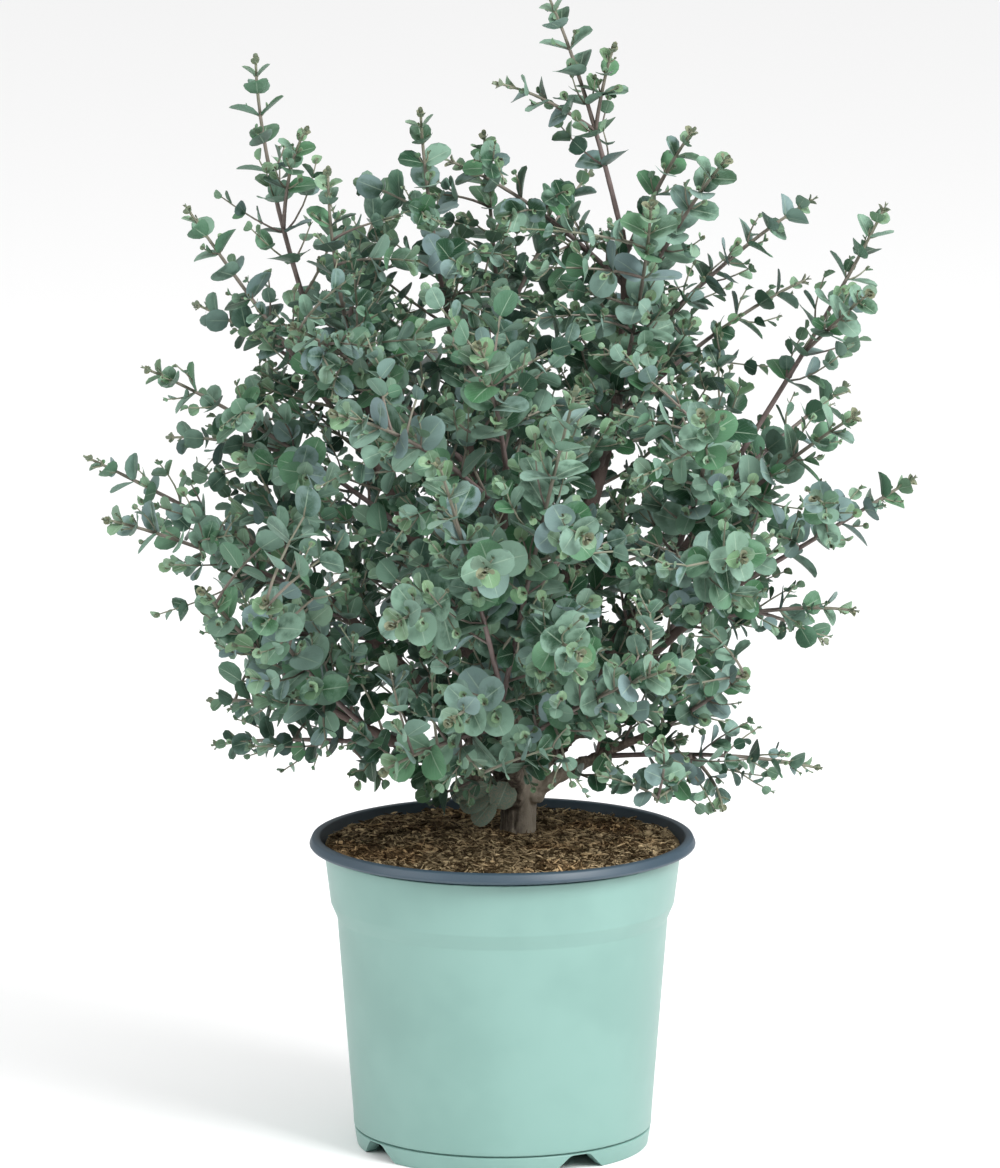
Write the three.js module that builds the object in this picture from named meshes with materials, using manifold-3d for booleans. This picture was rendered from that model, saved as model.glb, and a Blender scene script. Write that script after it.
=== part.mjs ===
// A cider gum, Eucalyptus gunnii, grown in a two-layer plastic nursery pot of 230 mm. Millimetres, +Z up,
// origin on the surface that the pot stands on, at the pot's centre, with -Y towards the viewer.
// The bush is one trunk with its limbs, and leafy branches that spring from the limbs. Each branch carries
// opposite pairs of round, stalkless young leaves, each pair turned a quarter turn from the last.
import * as THREE from "three";
import { mergeVertices } from "three/addons/utils/BufferGeometryUtils.js";
import Module from "manifold-3d";

const wasm = await Module();
wasm.setup();

const V = (x, y, z) => new THREE.Vector3(x, y, z);
const DEG = Math.PI / 180;
const GAP = 0.3; // clearance between pieces that touch

// Pot: the outer layer's radius just over the foot, and under and over the step below its rim band.
const POT_HEIGHT = 187;
const RIM_RADIUS = 115;
const LAYER = 1.2; // thickness of each of the pot's two layers
const FOOT_HEIGHT = 10.5;
const FOOT_RADIUS = 86.8;
const FOOT_WIDTH = 7;
const WALL_STATIONS = [
  { z: 20, r: 89.2 },
  { z: 138, r: 98.4 },
  { z: 147, r: 102.2 },
];
const HEEL_RADIUS = 88.8; // where the wall turns in over the foot
const WALL_TOP = 178;
const WALL_TOP_RADIUS = 106;
const RIM_UNDERSIDE = WALL_TOP + GAP;
const BASE_TOP = FOOT_HEIGHT + 1.5;
const ROUND_SEGMENTS = 36;
const NOTCH_TOP_WIDTH = 13;
const NOTCH_FOOT_WIDTH = 34;
const NOTCH_ANGLE = 31.5; // degrees from the front to the first of the foot's four notches
const DRAIN_RADIUS = 6;
const DRAIN_CIRCLE = 58;
const DRAINS = 6;
const DRAIN_SIDES = 6;

// Growing medium and the trunk's hole in it.
const SOIL_LEVEL = 181.5;
const SOIL_RADIUS = 105.6;
const SOIL_RELIEF = 1.1;
const SOIL_BEVEL = 3.2; // how far down the medium's edge slopes in along the liner
const SOIL_RINGS = [66, 0];
const TRUNK_DEPTH = 34;
const TRUNK_SIDES = 10;

// Trunk and limbs: each is a cubic curve of start, two pulls and end, with its radius at both ends.
const TRUNK_FOOT = V(9, 36, SOIL_LEVEL - TRUNK_DEPTH);
const FORK = [11, 33, 226];
const TRUNK_RADIUS = 11.4;
const LIMBS = [
  { name: "trunk", r: [TRUNK_RADIUS, 9.5], curve: [[9, 36, 179], [9, 36, 194], [12, 36, 208], FORK] },
  { name: "leader", r: [7, 2.6], curve: [[11, 33, 214], [16, 28, 300], [88, 32, 430], [70, 28, 545]] },
  { name: "left_up", r: [6, 2.2], curve: [[11, 34, 212], [-14, 18, 290], [-62, 4, 380], [-108, 8, 478]] },
  { name: "left", r: [5.5, 2.0], curve: [[10, 34, 206], [-34, 22, 262], [-84, 14, 310], [-132, 8, 352]] },
  { name: "left_low", r: [4.6, 1.8], curve: [[9, 32, 202], [-30, 4, 232], [-72, -18, 246], [-110, -20, 272]] },
  { name: "right_up", r: [6, 2.2], curve: [[12, 33, 214], [50, 22, 284], [108, 8, 344], [140, 6, 414]] },
  { name: "right", r: [5.5, 2.0], curve: [[12, 35, 208], [52, 34, 256], [96, 26, 302], [144, 14, 338]] },
  { name: "right_low", r: [5.2, 1.8], curve: [[13, 33, 200], [40, 26, 226], [68, 10, 236], [100, 8, 252]] },
  { name: "front_up", r: [5.8, 2.2], curve: [[11, 30, 216], [6, -16, 286], [-4, -58, 340], [2, -78, 420]] },
  { name: "front_low", r: [5.2, 1.9], curve: [[11, 29, 206], [4, -24, 244], [-4, -70, 262], [-2, -116, 300]] },
  { name: "rear_up", r: [5.6, 2.2], curve: [[11, 37, 216], [12, 70, 286], [4, 96, 350], [2, 104, 430]] },
  { name: "rear_low", r: [5.0, 1.9], curve: [[11, 38, 206], [2, 76, 240], [-8, 112, 272], [-4, 140, 310]] },
  { name: "middle", r: [5.4, 2.2], curve: [[11, 34, 218], [4, 30, 300], [-16, 24, 380], [-26, 34, 456]] },
];

// Leafy branches: where each ends, its widest leaf, and the ends of the forks that it bears. Some are set on one
// limb, or at one share of its length, and the others take the limb that reaches them best.
const BRANCHES = [
  { name: "leader_tip", tip: V(27, 25, 684), leaf: 24, forks: [V(65, 10, 655), V(-2, 20, 633)] },
  { name: "crown_left", limb: "left_up", tip: V(-145, 20, 647), leaf: 23, forks: [V(-115, -20, 610)] },
  { name: "crown_inner_left", tip: V(-48, 0, 618), leaf: 22, forks: [] },
  { name: "crown_middle_left", limb: "leader", at: 0.9, tip: V(-31, 30, 586), leaf: 22, forks: [] },
  { name: "crown_middle", tip: V(-11, 70, 596), leaf: 22, forks: [] },
  { name: "crown_right", limb: "leader", at: 0.95, tip: V(111, 0, 607), leaf: 22, forks: [] },
  { name: "crown_outer_right", limb: "leader", at: 0.84, tip: V(130, -40, 596), leaf: 22, forks: [] },
  { name: "column_right", limb: "leader", at: 0.56, tip: V(86, -60, 571), leaf: 27, forks: [] },
  { name: "left_high", limb: "left_up", at: 0.72, tip: V(-185, 10, 560), leaf: 22, forks: [V(-182, 60, 496)] },
  { name: "left_middle", limb: "left_up", at: 0.58, tip: V(-209, -10, 468), leaf: 22, forks: [V(-198, 60, 416)] },
  { name: "left_far", limb: "left", at: 1, tip: V(-245, 15, 411), leaf: 20, forks: [] },
  { name: "left_far_low", limb: "left", at: 0.8, tip: V(-231, -45, 384), leaf: 23, forks: [] },
  { name: "left_front_low", tip: V(-173, -90, 350), leaf: 23, forks: [] },
  { name: "left_low", tip: V(-163, -50, 308), leaf: 21, forks: [] },
  { name: "left_drop", tip: V(-174, 20, 264), leaf: 17, forks: [] },
  { name: "right_high", limb: "leader", at: 0.76, tip: V(183, 30, 563), leaf: 21, forks: [] },
  { name: "right_crown", limb: "right_up", at: 1, tip: V(224, 0, 562), leaf: 22, forks: [V(213, -60, 520)] },
  { name: "right_inner", limb: "leader", at: 0.66, tip: V(180, 60, 511), leaf: 22, forks: [] },
  { name: "right_middle", limb: "right_up", at: 0.9, tip: V(204, 48, 448), leaf: 22, forks: [] },
  { name: "right_middle_front", limb: "right_up", at: 0.76, tip: V(206, -40, 445), leaf: 24, forks: [] },
  { name: "right_far", limb: "right", at: 1, tip: V(242, 15, 398), leaf: 23, forks: [V(182, -70, 401)] },
  { name: "right_low", tip: V(208, 0, 322), leaf: 20, forks: [V(193, 50, 294)] },
  { name: "right_drop", tip: V(141, -60, 295), leaf: 21, forks: [] },
  { name: "right_floor", tip: V(188, 25, 222), leaf: 18, forks: [V(130, -20, 207), V(91, -50, 219)] },
  { name: "front_left", tip: V(-95, -170, 466), leaf: 25, forks: [] },
  { name: "front_middle", tip: V(-36, -188, 440), leaf: 26, forks: [] },
  { name: "front_top", tip: V(-13, -150, 502), leaf: 28, forks: [] },
  { name: "front_right", tip: V(41, -180, 480), leaf: 27, forks: [] },
  { name: "front_centre", tip: V(-10, -218, 384), leaf: 28, forks: [] },
  { name: "front_centre_left", tip: V(-62, -210, 352), leaf: 27, forks: [] },
  { name: "front_centre_right", tip: V(48, -214, 402), leaf: 25, forks: [] },
  { name: "front_lower_right", tip: V(44, -206, 334), leaf: 25, forks: [] },
  { name: "front_lower", tip: V(-30, -190, 292), leaf: 25, forks: [] },
  { name: "front_floor", tip: V(-68, -140, 254), leaf: 26, forks: [V(-12, -110, 246)] },
  { name: "front_outer_left", tip: V(-136, -140, 352), leaf: 25, forks: [] },
  { name: "front_outer_right", tip: V(138, -148, 380), leaf: 24, forks: [] },
  { name: "front_high_right", tip: V(114, -146, 462), leaf: 24, forks: [] },
  { name: "front_low_right", tip: V(96, -166, 318), leaf: 23, forks: [] },
  { name: "rear_left", tip: V(-152, 134, 430), leaf: 22, forks: [] },
  { name: "rear_high_left", tip: V(-92, 176, 486), leaf: 23, forks: [] },
  { name: "rear_middle", tip: V(4, 214, 440), leaf: 24, forks: [] },
  { name: "rear_high_right", tip: V(96, 178, 480), leaf: 23, forks: [] },
  { name: "rear_right", tip: V(160, 132, 416), leaf: 22, forks: [] },
  { name: "rear_top_left", tip: V(-66, 122, 560), leaf: 22, forks: [] },
  { name: "rear_top_right", tip: V(52, 128, 566), leaf: 22, forks: [] },
  { name: "rear_low_left", tip: V(-116, 172, 330), leaf: 22, forks: [] },
  { name: "rear_low", tip: V(0, 222, 330), leaf: 23, forks: [] },
  { name: "rear_low_right", tip: V(112, 180, 330), leaf: 22, forks: [] },
  { name: "rear_floor_left", tip: V(-66, 150, 250), leaf: 20, forks: [] },
  { name: "rear_floor_right", tip: V(62, 156, 248), leaf: 20, forks: [] },
  { name: "left_inner_high", limb: "left_up", tip: V(-102, -14, 585), leaf: 22, forks: [] },
  { name: "left_inner", tip: V(-122, -58, 500), leaf: 22, forks: [] },
  { name: "left_floor", limb: "left_low", at: 0.58, tip: V(-172, 40, 233), leaf: 17, forks: [] },
];

// How branches run.
const STEM_SAMPLES = 24;
const BRANCH_RADIUS = [1.7, 0.8];
const FORK_RADIUS = [1.3, 0.7];
const BRANCH_CLEARANCE = 4;
const ROOT_REACH = 16; // two stems may be closer than that within this distance of the later one's root
const FORK_SHARES = [0.42, 0.32, 0.52, 0.62]; // how far along its branch a fork may start, in turn
const CARRIER_SHARES = [0.4, 0.52, 0.64, 0.76, 0.88, 1]; // how far along its limb a branch may start
const SPRING_SPACING = 7;
const SETTING_OUT = 0.16; // share of its length that a branch's pull is carried along its carrier's way
const BOW_OUT = 0.03; // share of its length that a high branch bows outwards
const BOW_DOWN = 0.02;
const BOW_FROM = 250; // branches that end lower than this don't bow
const BOW_RISE = 300; // and those that end this much higher bow in full
// What a branch's start costs, in millimetres of its length.
const TURN_COST = 110;
const CROWD_COST = 70;
const CROWD_REACH = 14;
const SHORT_COST = 200;
const SHORT_LENGTH = 70;
const CHOICES = 10;

// How leaves grow.
const FIRST_PAIR = 3; // from the tip back to the first pair
const PAIR_GAP = 4;
const PAIR_SPACING = 0.62; // added to the gap, as a share of the leaf's width
const LEAF_SIZES = [0.22, 0.42, 0.64, 0.84, 0.96, 1]; // share of the widest leaf, pair by pair from the tip
const LEAFY_SHARE = 0.78; // share of a branch, from its tip, that bears leaves
const FORK_LEAF_SHARE = 0.85; // a fork's widest leaf, over its branch's
const DRAWN_PAIRS = [1, 2, 4, 7]; // the pairs, counted from the tip, that these solids have
const DRAWN_PAIRS_BESIDE_FORK = [1, 2, 4];
const DRAWN_PAIRS_ON_FORK = [1, 2];
const SPLAY_AT_TIP = 44; // degrees between stem and leaf
const SPLAY_STEP = 5; // more for each pair from the tip
const SPLAY_STEPS = 5;
const SPLAY_DRAW = 16;
const TWIST_DRAW = 0.8; // radians
const WIDTH_DRAW = 0.2;
const ROLL_DRIFT = 0.004; // radians that a stem's pairs turn by for each millimetre of it
const LEAST_SPLAY = 0.55; // radians
const LEAF_THICKNESS = 0.7;
const LEAF_ASPECT = 0.9; // width over length
const LEAF_CURVE = 0.1; // how far the tip falls back, over the leaf's length
// Half of a leaf's outline, from one side over the tip to the other, in shares of its width and length.
const LEAF_OUTLINE = [[0.44, 0.2], [0.44, 0.72], [0, 1], [-0.44, 0.72], [-0.44, 0.2]];
const COLLAR = 0.7; // half the height of a leaf's seat on its stem
const LEAF_CENTRE = 0.56; // share of its length
const LEAF_MARGIN = 0.6;
const LEAF_LIFT = 2.6; // least distance between the planes of two leaves that lie over one another
const STEM_MARGIN = 1.8;
const STATION_SPACING = 72; // between the bends of a bare stem
const STATION_MARGIN = 8;
// Changes of splay and of twist that a leaf tries, in turn, to get clear of its neighbours.
const BENDS = [[0, 0], [0, 0.6], [0, -0.6], [-0.35, 0], [0.35, 0], [-0.35, 0.6], [-0.35, -0.6], [0.4, 0.9]];

const BARK = new THREE.MeshStandardMaterial({ color: 0x6b5a4a, roughness: 0.9, metalness: 0 });
const FOLIAGE = new THREE.MeshStandardMaterial({ color: 0x6f9280, roughness: 0.6, metalness: 0 });
const MINT = new THREE.MeshStandardMaterial({ color: 0xa4cfc4, roughness: 0.35, metalness: 0 });
const SLATE = new THREE.MeshStandardMaterial({ color: 0x47545f, roughness: 0.45, metalness: 0 });
const PEAT = new THREE.MeshStandardMaterial({ color: 0x4b3a26, roughness: 1, metalness: 0 });

// Repeatable draws between 0 and 1.
function seeded(seed) {
  let state = seed >>> 0;
  return () => {
    state = (state * 1664525 + 1013904223) % 4294967296;
    return state / 4294967296;
  };
}

// Solids
function solidOf(geometry) {
  const bare = geometry.index ? geometry.toNonIndexed() : geometry.clone();
  for (const name of Object.keys(bare.attributes)) if (name !== "position") bare.deleteAttribute(name);
  const merged = mergeVertices(bare, 1e-4);
  return new wasm.Manifold(
    new wasm.Mesh({
      numProp: 3,
      vertProperties: merged.attributes.position.array,
      triVerts: new Uint32Array(merged.index.array),
    }),
  );
}

function meshOf(name, solid, material) {
  const made = solid.getMesh();
  const positions = new Float32Array(made.numVert * 3);
  for (let i = 0; i < made.numVert; i++)
    positions.set(made.vertProperties.subarray(i * made.numProp, i * made.numProp + 3), i * 3);
  const geometry = new THREE.BufferGeometry()
    .setAttribute("position", new THREE.BufferAttribute(positions, 3))
    .setIndex(new THREE.BufferAttribute(made.triVerts, 1));
  geometry.computeVertexNormals();
  const mesh = new THREE.Mesh(geometry, material);
  mesh.name = name;
  return mesh;
}

function largest(solid) {
  return solid.decompose().reduce((best, piece) => (piece.volume() > best.volume() ? piece : best));
}

// A lathe of [radius, height] points, given from the axis round the outside and back to the axis.
function turned(profile) {
  const lathe = new THREE.LatheGeometry(profile.map(([r, z]) => new THREE.Vector2(r, z)), ROUND_SEGMENTS);
  return solidOf(lathe.rotateX(90 * DEG));
}

// A stem: a quadratic curve sampled evenly, with a taper.
class Stem {
  constructor(from, pull, to, radii) {
    this.points = [];
    for (let i = 0; i <= STEM_SAMPLES; i++) {
      const t = i / STEM_SAMPLES;
      const point = from.clone().multiplyScalar((1 - t) * (1 - t));
      point.addScaledVector(pull, 2 * t * (1 - t)).addScaledVector(to, t * t);
      this.points.push(point);
    }
    this.settle(radii);
  }

  settle(radii) {
    this.radii = radii;
    this.reach = [0];
    for (let i = 1; i < this.points.length; i++)
      this.reach.push(this.reach[i - 1] + this.points[i].distanceTo(this.points[i - 1]));
    this.length = this.reach[this.reach.length - 1];
    const chord = this.points[this.points.length - 1].clone().sub(this.points[0]).normalize();
    const up = Math.abs(chord.z) > 0.95 ? V(0, 1, 0) : V(0, 0, 1);
    this.side = chord.cross(up).normalize();
  }

  // The point, direction and radius at a distance from the stem's foot.
  at(distance) {
    const s = Math.min(Math.max(distance, 0), this.length);
    let i = 1;
    while (i < this.points.length - 1 && this.reach[i] < s) i++;
    const share = (s - this.reach[i - 1]) / (this.reach[i] - this.reach[i - 1]);
    const step = this.points[i].clone().sub(this.points[i - 1]);
    return {
      point: this.points[i - 1].clone().addScaledVector(step, share),
      along: step.normalize(),
      radius: this.radii[0] + ((this.radii[1] - this.radii[0]) * s) / this.length,
    };
  }
}

class Limb extends Stem {
  constructor(limb) {
    const [from, firstPull, secondPull, to] = limb.curve.map((place) => V(...place));
    super(from, firstPull, to, limb.r);
    this.name = limb.name;
    for (let i = 0; i <= STEM_SAMPLES; i++) {
      const t = i / STEM_SAMPLES;
      const u = 1 - t;
      this.points[i] = from.clone().multiplyScalar(u * u * u).addScaledVector(firstPull, 3 * u * u * t);
      this.points[i].addScaledVector(secondPull, 3 * u * t * t).addScaledVector(to, t * t * t);
    }
    this.settle(limb.r);
  }
}

// Turns a cylinder's rings into a tapered tube that follows a stem.
function tube(stem, sides, steps, extra = 0) {
  const shape = new THREE.CylinderGeometry(1, 1, 1, sides, steps);
  const place = shape.attributes.position;
  for (let i = 0; i < place.count; i++) {
    const share = place.getY(i) + 0.5;
    const { point, along, radius } = stem.at(share * stem.length);
    const side = stem.side.clone().addScaledVector(along, -stem.side.dot(along)).normalize();
    const other = along.clone().cross(side);
    const end = share > 0.999 ? extra : 0;
    point.addScaledVector(along, end);
    point.addScaledVector(side, place.getZ(i) * (radius + extra));
    point.addScaledVector(other, place.getX(i) * (radius + extra));
    place.setXYZ(i, point.x, point.y, point.z);
  }
  return solidOf(shape);
}

// Where leaves, stems and limbs already are, so that what comes later keeps clear of them.
const stems = [];
const leaves = [];

function discHitsSegment(leaf, p, q, radius) {
  const dp = p.clone().sub(leaf.centre).dot(leaf.normal);
  const dq = q.clone().sub(leaf.centre).dot(leaf.normal);
  const margin = radius + STEM_MARGIN;
  if ((dp > margin && dq > margin) || (dp < -margin && dq < -margin)) return false;
  const t = Math.abs(dp - dq) < 1e-6 ? 0.5 : Math.min(Math.max(dp / (dp - dq), 0), 1);
  const at = p.clone().lerp(q, t).sub(leaf.centre);
  at.addScaledVector(leaf.normal, -at.dot(leaf.normal));
  return at.length() < leaf.reach + radius;
}

function discsMeet(a, b) {
  const between = b.centre.clone().sub(a.centre);
  const apart = between.length();
  if (apart > a.reach + b.reach) return false;
  const cosine = Math.abs(a.normal.dot(b.normal));
  const lift = Math.min(Math.abs(between.dot(a.normal)), Math.abs(between.dot(b.normal)));
  if (lift < LEAF_LIFT && cosine > 0.8) return true;
  const line = a.normal.clone().cross(b.normal);
  const sine = line.length();
  if (sine < 0.1) return lift < LEAF_LIFT;
  line.divideScalar(sine);
  // A point common to both planes, measured from the first centre.
  const offset = between.dot(b.normal);
  const meet = line.clone().cross(a.normal).multiplyScalar(offset / sine);
  if (meet.dot(b.normal) * offset < 0) meet.negate();
  const fromA = meet.dot(line);
  const reachA = a.reach * a.reach - meet.lengthSq() + fromA * fromA;
  const fromB = meet.clone().sub(between);
  const alongB = fromB.dot(line);
  const reachB = b.reach * b.reach - fromB.lengthSq() + alongB * alongB;
  if (reachA <= 0 || reachB <= 0) return false;
  const halfA = Math.sqrt(reachA);
  const halfB = Math.sqrt(reachB);
  return Math.abs(alongB - fromA) < halfA + halfB;
}

function isClear(leaf) {
  if (leaves.some((other) => discsMeet(leaf, other))) return false;
  for (const { stem, owner } of stems) {
    if (owner === leaf.owner) continue;
    if (leaf.centre.distanceTo(stem.points[STEM_SAMPLES / 2]) > stem.length + leaf.reach) continue;
    for (let i = 1; i < stem.points.length; i++)
      if (discHitsSegment(leaf, stem.points[i - 1], stem.points[i], stem.radii[0])) return false;
  }
  return true;
}

// The stem from a start to a tip: it leaves along its carrier's way and bows outwards and up.
function route(from, along, tip, radii) {
  const chord = tip.clone().sub(from);
  const length = chord.length();
  const pull = from.clone().addScaledVector(chord, 0.5).addScaledVector(along, SETTING_OUT * length);
  const outward = V(tip.x, tip.y, 0).normalize();
  const rise = Math.min(Math.max((tip.z - BOW_FROM) / BOW_RISE, 0), 1);
  pull.addScaledVector(outward, BOW_OUT * length * rise);
  pull.z -= BOW_DOWN * length * rise;
  return new Stem(from, pull, tip, radii);
}

function nearestApproach(stem, owner) {
  let least = Infinity;
  for (const { stem: other, owner: theirs } of stems)
    for (let i = 2; i < stem.points.length; i++)
      for (const point of other.points) {
        if (theirs === owner) continue;
        const near = stem.points[i].distanceTo(point) - other.radii[0];
        if (stem.points[i].distanceTo(stem.points[0]) > ROOT_REACH) least = Math.min(least, near);
      }
  return least;
}

// A branch springs from the limb that reaches it best: near, in line, and not where another one springs.
const limbs = LIMBS.map((limb) => new Limb(limb));
const springs = [];

function carried(branch) {
  const choices = [];
  for (const limb of limbs.slice(1).filter(({ name }) => name === (branch.limb ?? name)))
    for (const share of branch.at ? [branch.at] : CARRIER_SHARES) {
      const { point, along } = limb.at(share * limb.length);
      if (springs.some((other) => other.distanceTo(point) < SPRING_SPACING)) continue;
      const way = branch.tip.clone().sub(point);
      const length = way.length();
      const turn = 1 - way.normalize().dot(along);
      const crowd = springs.filter((other) => other.distanceTo(point) < CROWD_REACH).length;
      const short = length < SHORT_LENGTH ? SHORT_COST : 0;
      choices.push({ point, along, cost: length + TURN_COST * turn + CROWD_COST * crowd + short });
    }
  choices.sort((a, b) => a.cost - b.cost);
  let best = null;
  for (const { point, along } of choices.slice(0, CHOICES)) {
    const stem = route(point, along, branch.tip, BRANCH_RADIUS);
    const clear = nearestApproach(stem, branch.name);
    if (!best || clear > best.clear) best = { stem, clear, point };
    if (clear > BRANCH_CLEARANCE) break;
  }
  springs.push(best.point);
  return best.stem;
}

function forked(parent, tip, owner) {
  let best = null;
  for (const share of FORK_SHARES) {
    const { point, along } = parent.at(share * parent.length);
    const stem = route(point, along, tip, FORK_RADIUS);
    const clear = nearestApproach(stem, owner);
    if (!best || clear > best.clear) best = { stem, clear };
    if (clear > BRANCH_CLEARANCE) break;
  }
  return best.stem;
}

// The pairs of leaves on a stem, counted from its tip.
function pairsOn(stem, widest) {
  const places = [];
  let back = FIRST_PAIR;
  for (let i = 0; stem.length - back > (1 - LEAFY_SHARE) * stem.length; i++) {
    const size = widest * LEAF_SIZES[Math.min(i, LEAF_SIZES.length - 1)];
    places.push({ from: stem.length - back, size });
    back += PAIR_GAP + PAIR_SPACING * size;
  }
  return places;
}

// Leaves of one stem: two a pair, opposite, and each pair a quarter turn on from the last.
function leavesOn(stem, widest, draw, owner, drawn) {
  const grown = [];
  const start = draw() * 2 * Math.PI;
  pairsOn(stem, widest).forEach(({ from, size }, i) => {
    const { point, along, side, other } = ringFrame(stem, from, start);
    for (const half of [0, 1]) {
      const splay = SPLAY_AT_TIP + SPLAY_STEP * Math.min(i, SPLAY_STEPS) + (draw() - 0.5) * SPLAY_DRAW;
      const twist = (draw() - 0.5) * TWIST_DRAW;
      const width = size * (1 + (draw() - 0.5) * WIDTH_DRAW);
      if (!drawn.includes(i)) continue;
      const face = (i % 2) + 2 * half;
      const out = [side, other, side.clone().negate(), other.clone().negate()][face];
      for (const [moreSplay, moreTwist] of BENDS) {
        const lean = Math.max(splay * DEG + moreSplay, LEAST_SPLAY);
        const axis = along.clone().multiplyScalar(Math.cos(lean)).addScaledVector(out, Math.sin(lean));
        const normal = along.clone().multiplyScalar(Math.sin(lean)).addScaledVector(out, -Math.cos(lean));
        normal.applyAxisAngle(axis, twist + moreTwist);
        const length = width / LEAF_ASPECT;
        const leaf = { owner, start, from, face, root: point, axis, normal, width, length };
        leaf.centre = point.clone().addScaledVector(axis, LEAF_CENTRE * length);
        leaf.reach = length / 2 + LEAF_MARGIN;
        if (isClear(leaf)) {
          leaves.push(leaf);
          grown.push(leaf);
          break;
        }
      }
    }
  });
  return grown;
}

// A stem's cross directions at a distance from its foot: its pairs turn slowly as it grows.
function ringFrame(stem, distance, start) {
  const { point, along, radius } = stem.at(distance);
  const flat = stem.side.clone().addScaledVector(along, -stem.side.dot(along)).normalize();
  const turn = start + ROLL_DRIFT * distance;
  const side = flat.clone().multiplyScalar(Math.cos(turn));
  side.addScaledVector(along.clone().cross(flat), Math.sin(turn));
  return { point, along, radius, side, other: along.clone().cross(side) };
}

// One closed surface of a square stem and its blades: at a pair's place the stem has two rings close
// together, and each blade grows out of the open face between them.
function leafyStem(stem, grown) {
  const start = grown.length ? grown[0].start : 0;
  const places = [];
  for (const leaf of grown) if (!places.includes(leaf.from)) places.push(leaf.from);
  const rings = [];
  const stations = [];
  for (let s = 0; s < stem.length - STATION_MARGIN; s += STATION_SPACING)
    if (places.every((place) => Math.abs(place - s) > STATION_MARGIN)) stations.push({ s, leaves: [] });
  for (const place of places) {
    stations.push({ s: place - COLLAR, leaves: grown.filter((leaf) => leaf.from === place) });
    stations.push({ s: place + COLLAR, leaves: [] });
  }
  stations.sort((a, b) => a.s - b.s);
  const positions = [];
  const faces = [];
  const add = (point) => positions.push(point.x, point.y, point.z) / 3 - 1;
  for (const { s } of stations) {
    const { point, radius, side, other } = ringFrame(stem, s, start);
    const ring = [];
    for (let k = 0; k < 4; k++) {
      const angle = (90 * k - 45) * DEG;
      const corner = point.clone().addScaledVector(side, radius * Math.cos(angle));
      ring.push(add(corner.addScaledVector(other, radius * Math.sin(angle))));
    }
    rings.push(ring);
  }
  const quad = (a, b, c, d) => faces.push(a, b, c, a, c, d);
  quad(...rings[0].slice().reverse());
  for (let i = 1; i < rings.length; i++) {
    const [low, high] = [rings[i - 1], rings[i]];
    for (let k = 0; k < 4; k++) {
      const next = (k + 1) % 4;
      const leaf = stations[i - 1].leaves.find((candidate) => candidate.face === k);
      if (leaf) growBlade(leaf, [low[k], low[next], high[next], high[k]], add, faces, quad);
      else quad(low[k], low[next], high[next], high[k]);
    }
  }
  const apex = add(stem.points[stem.points.length - 1]);
  const last = rings[rings.length - 1];
  for (let k = 0; k < 4; k++) faces.push(last[k], last[(k + 1) % 4], apex);
  const geometry = new THREE.BufferGeometry();
  geometry.setAttribute("position", new THREE.Float32BufferAttribute(positions, 3)).setIndex(faces);
  return solidOf(geometry);
}

// A blade from the four corners of its seat: under face, upper face and the edge between them.
function growBlade(leaf, [lowRight, lowLeft, highLeft, highRight], add, faces, quad) {
  const across = leaf.normal.clone().cross(leaf.axis);
  const upper = [];
  const under = [];
  for (const [x, y] of LEAF_OUTLINE) {
    const point = leaf.root.clone().addScaledVector(leaf.axis, y * leaf.length);
    point.addScaledVector(across, x * leaf.width);
    point.addScaledVector(leaf.normal, -LEAF_CURVE * y * y * leaf.length);
    upper.push(add(point.clone().addScaledVector(leaf.normal, LEAF_THICKNESS / 2)));
    under.push(add(point.addScaledVector(leaf.normal, -LEAF_THICKNESS / 2)));
  }
  const edge = [[lowLeft, highLeft], ...under.map((low, j) => [low, upper[j]]), [lowRight, highRight]];
  for (let j = 1; j < edge.length; j++) quad(edge[j][0], edge[j - 1][0], edge[j - 1][1], edge[j][1]);
  quad(lowRight, lowLeft, under[0], under[4]);
  quad(under[4], under[0], under[1], under[3]);
  faces.push(under[3], under[1], under[2]);
  quad(highLeft, highRight, upper[4], upper[0]);
  quad(upper[0], upper[4], upper[3], upper[1]);
  faces.push(upper[1], upper[3], upper[2]);
}

// Pot: the wall's section at a distance in from its outside, upwards from a corner at the height given.
function wallSection(inset, corner) {
  return [[HEEL_RADIUS - 1.2 * inset, corner], ...WALL_STATIONS.map(({ z, r }) => [r - inset, z])];
}

function potShell() {
  const footInside = FOOT_RADIUS - FOOT_WIDTH;
  const underside = [[0, BASE_TOP - LAYER], [footInside, BASE_TOP - LAYER], [footInside, 0]];
  const foot = [[FOOT_RADIUS, 0], [FOOT_RADIUS + 1.2, FOOT_HEIGHT]];
  const lip = [[WALL_TOP_RADIUS, WALL_TOP], [WALL_TOP_RADIUS - LAYER, WALL_TOP]];
  const inside = [...wallSection(LAYER, BASE_TOP).reverse(), [0, BASE_TOP]];
  let shell = turned([...underside, ...foot, ...wallSection(0, FOOT_HEIGHT + 1.2), ...lip, ...inside]);
  const notch = new THREE.Shape([
    new THREE.Vector2(-NOTCH_FOOT_WIDTH / 2, -1),
    new THREE.Vector2(NOTCH_FOOT_WIDTH / 2, -1),
    new THREE.Vector2(NOTCH_TOP_WIDTH / 2, FOOT_HEIGHT - 0.6),
    new THREE.Vector2(-NOTCH_TOP_WIDTH / 2, FOOT_HEIGHT - 0.6),
  ]);
  for (let i = 0; i < 4; i++) {
    const cut = new THREE.ExtrudeGeometry(notch, { depth: 24, bevelEnabled: false });
    cut.rotateX(90 * DEG).translate(0, -(FOOT_RADIUS - 12), 0).rotateZ((NOTCH_ANGLE + 90 * i) * DEG);
    shell = shell.subtract(solidOf(cut));
  }
  return shell;
}

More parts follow.
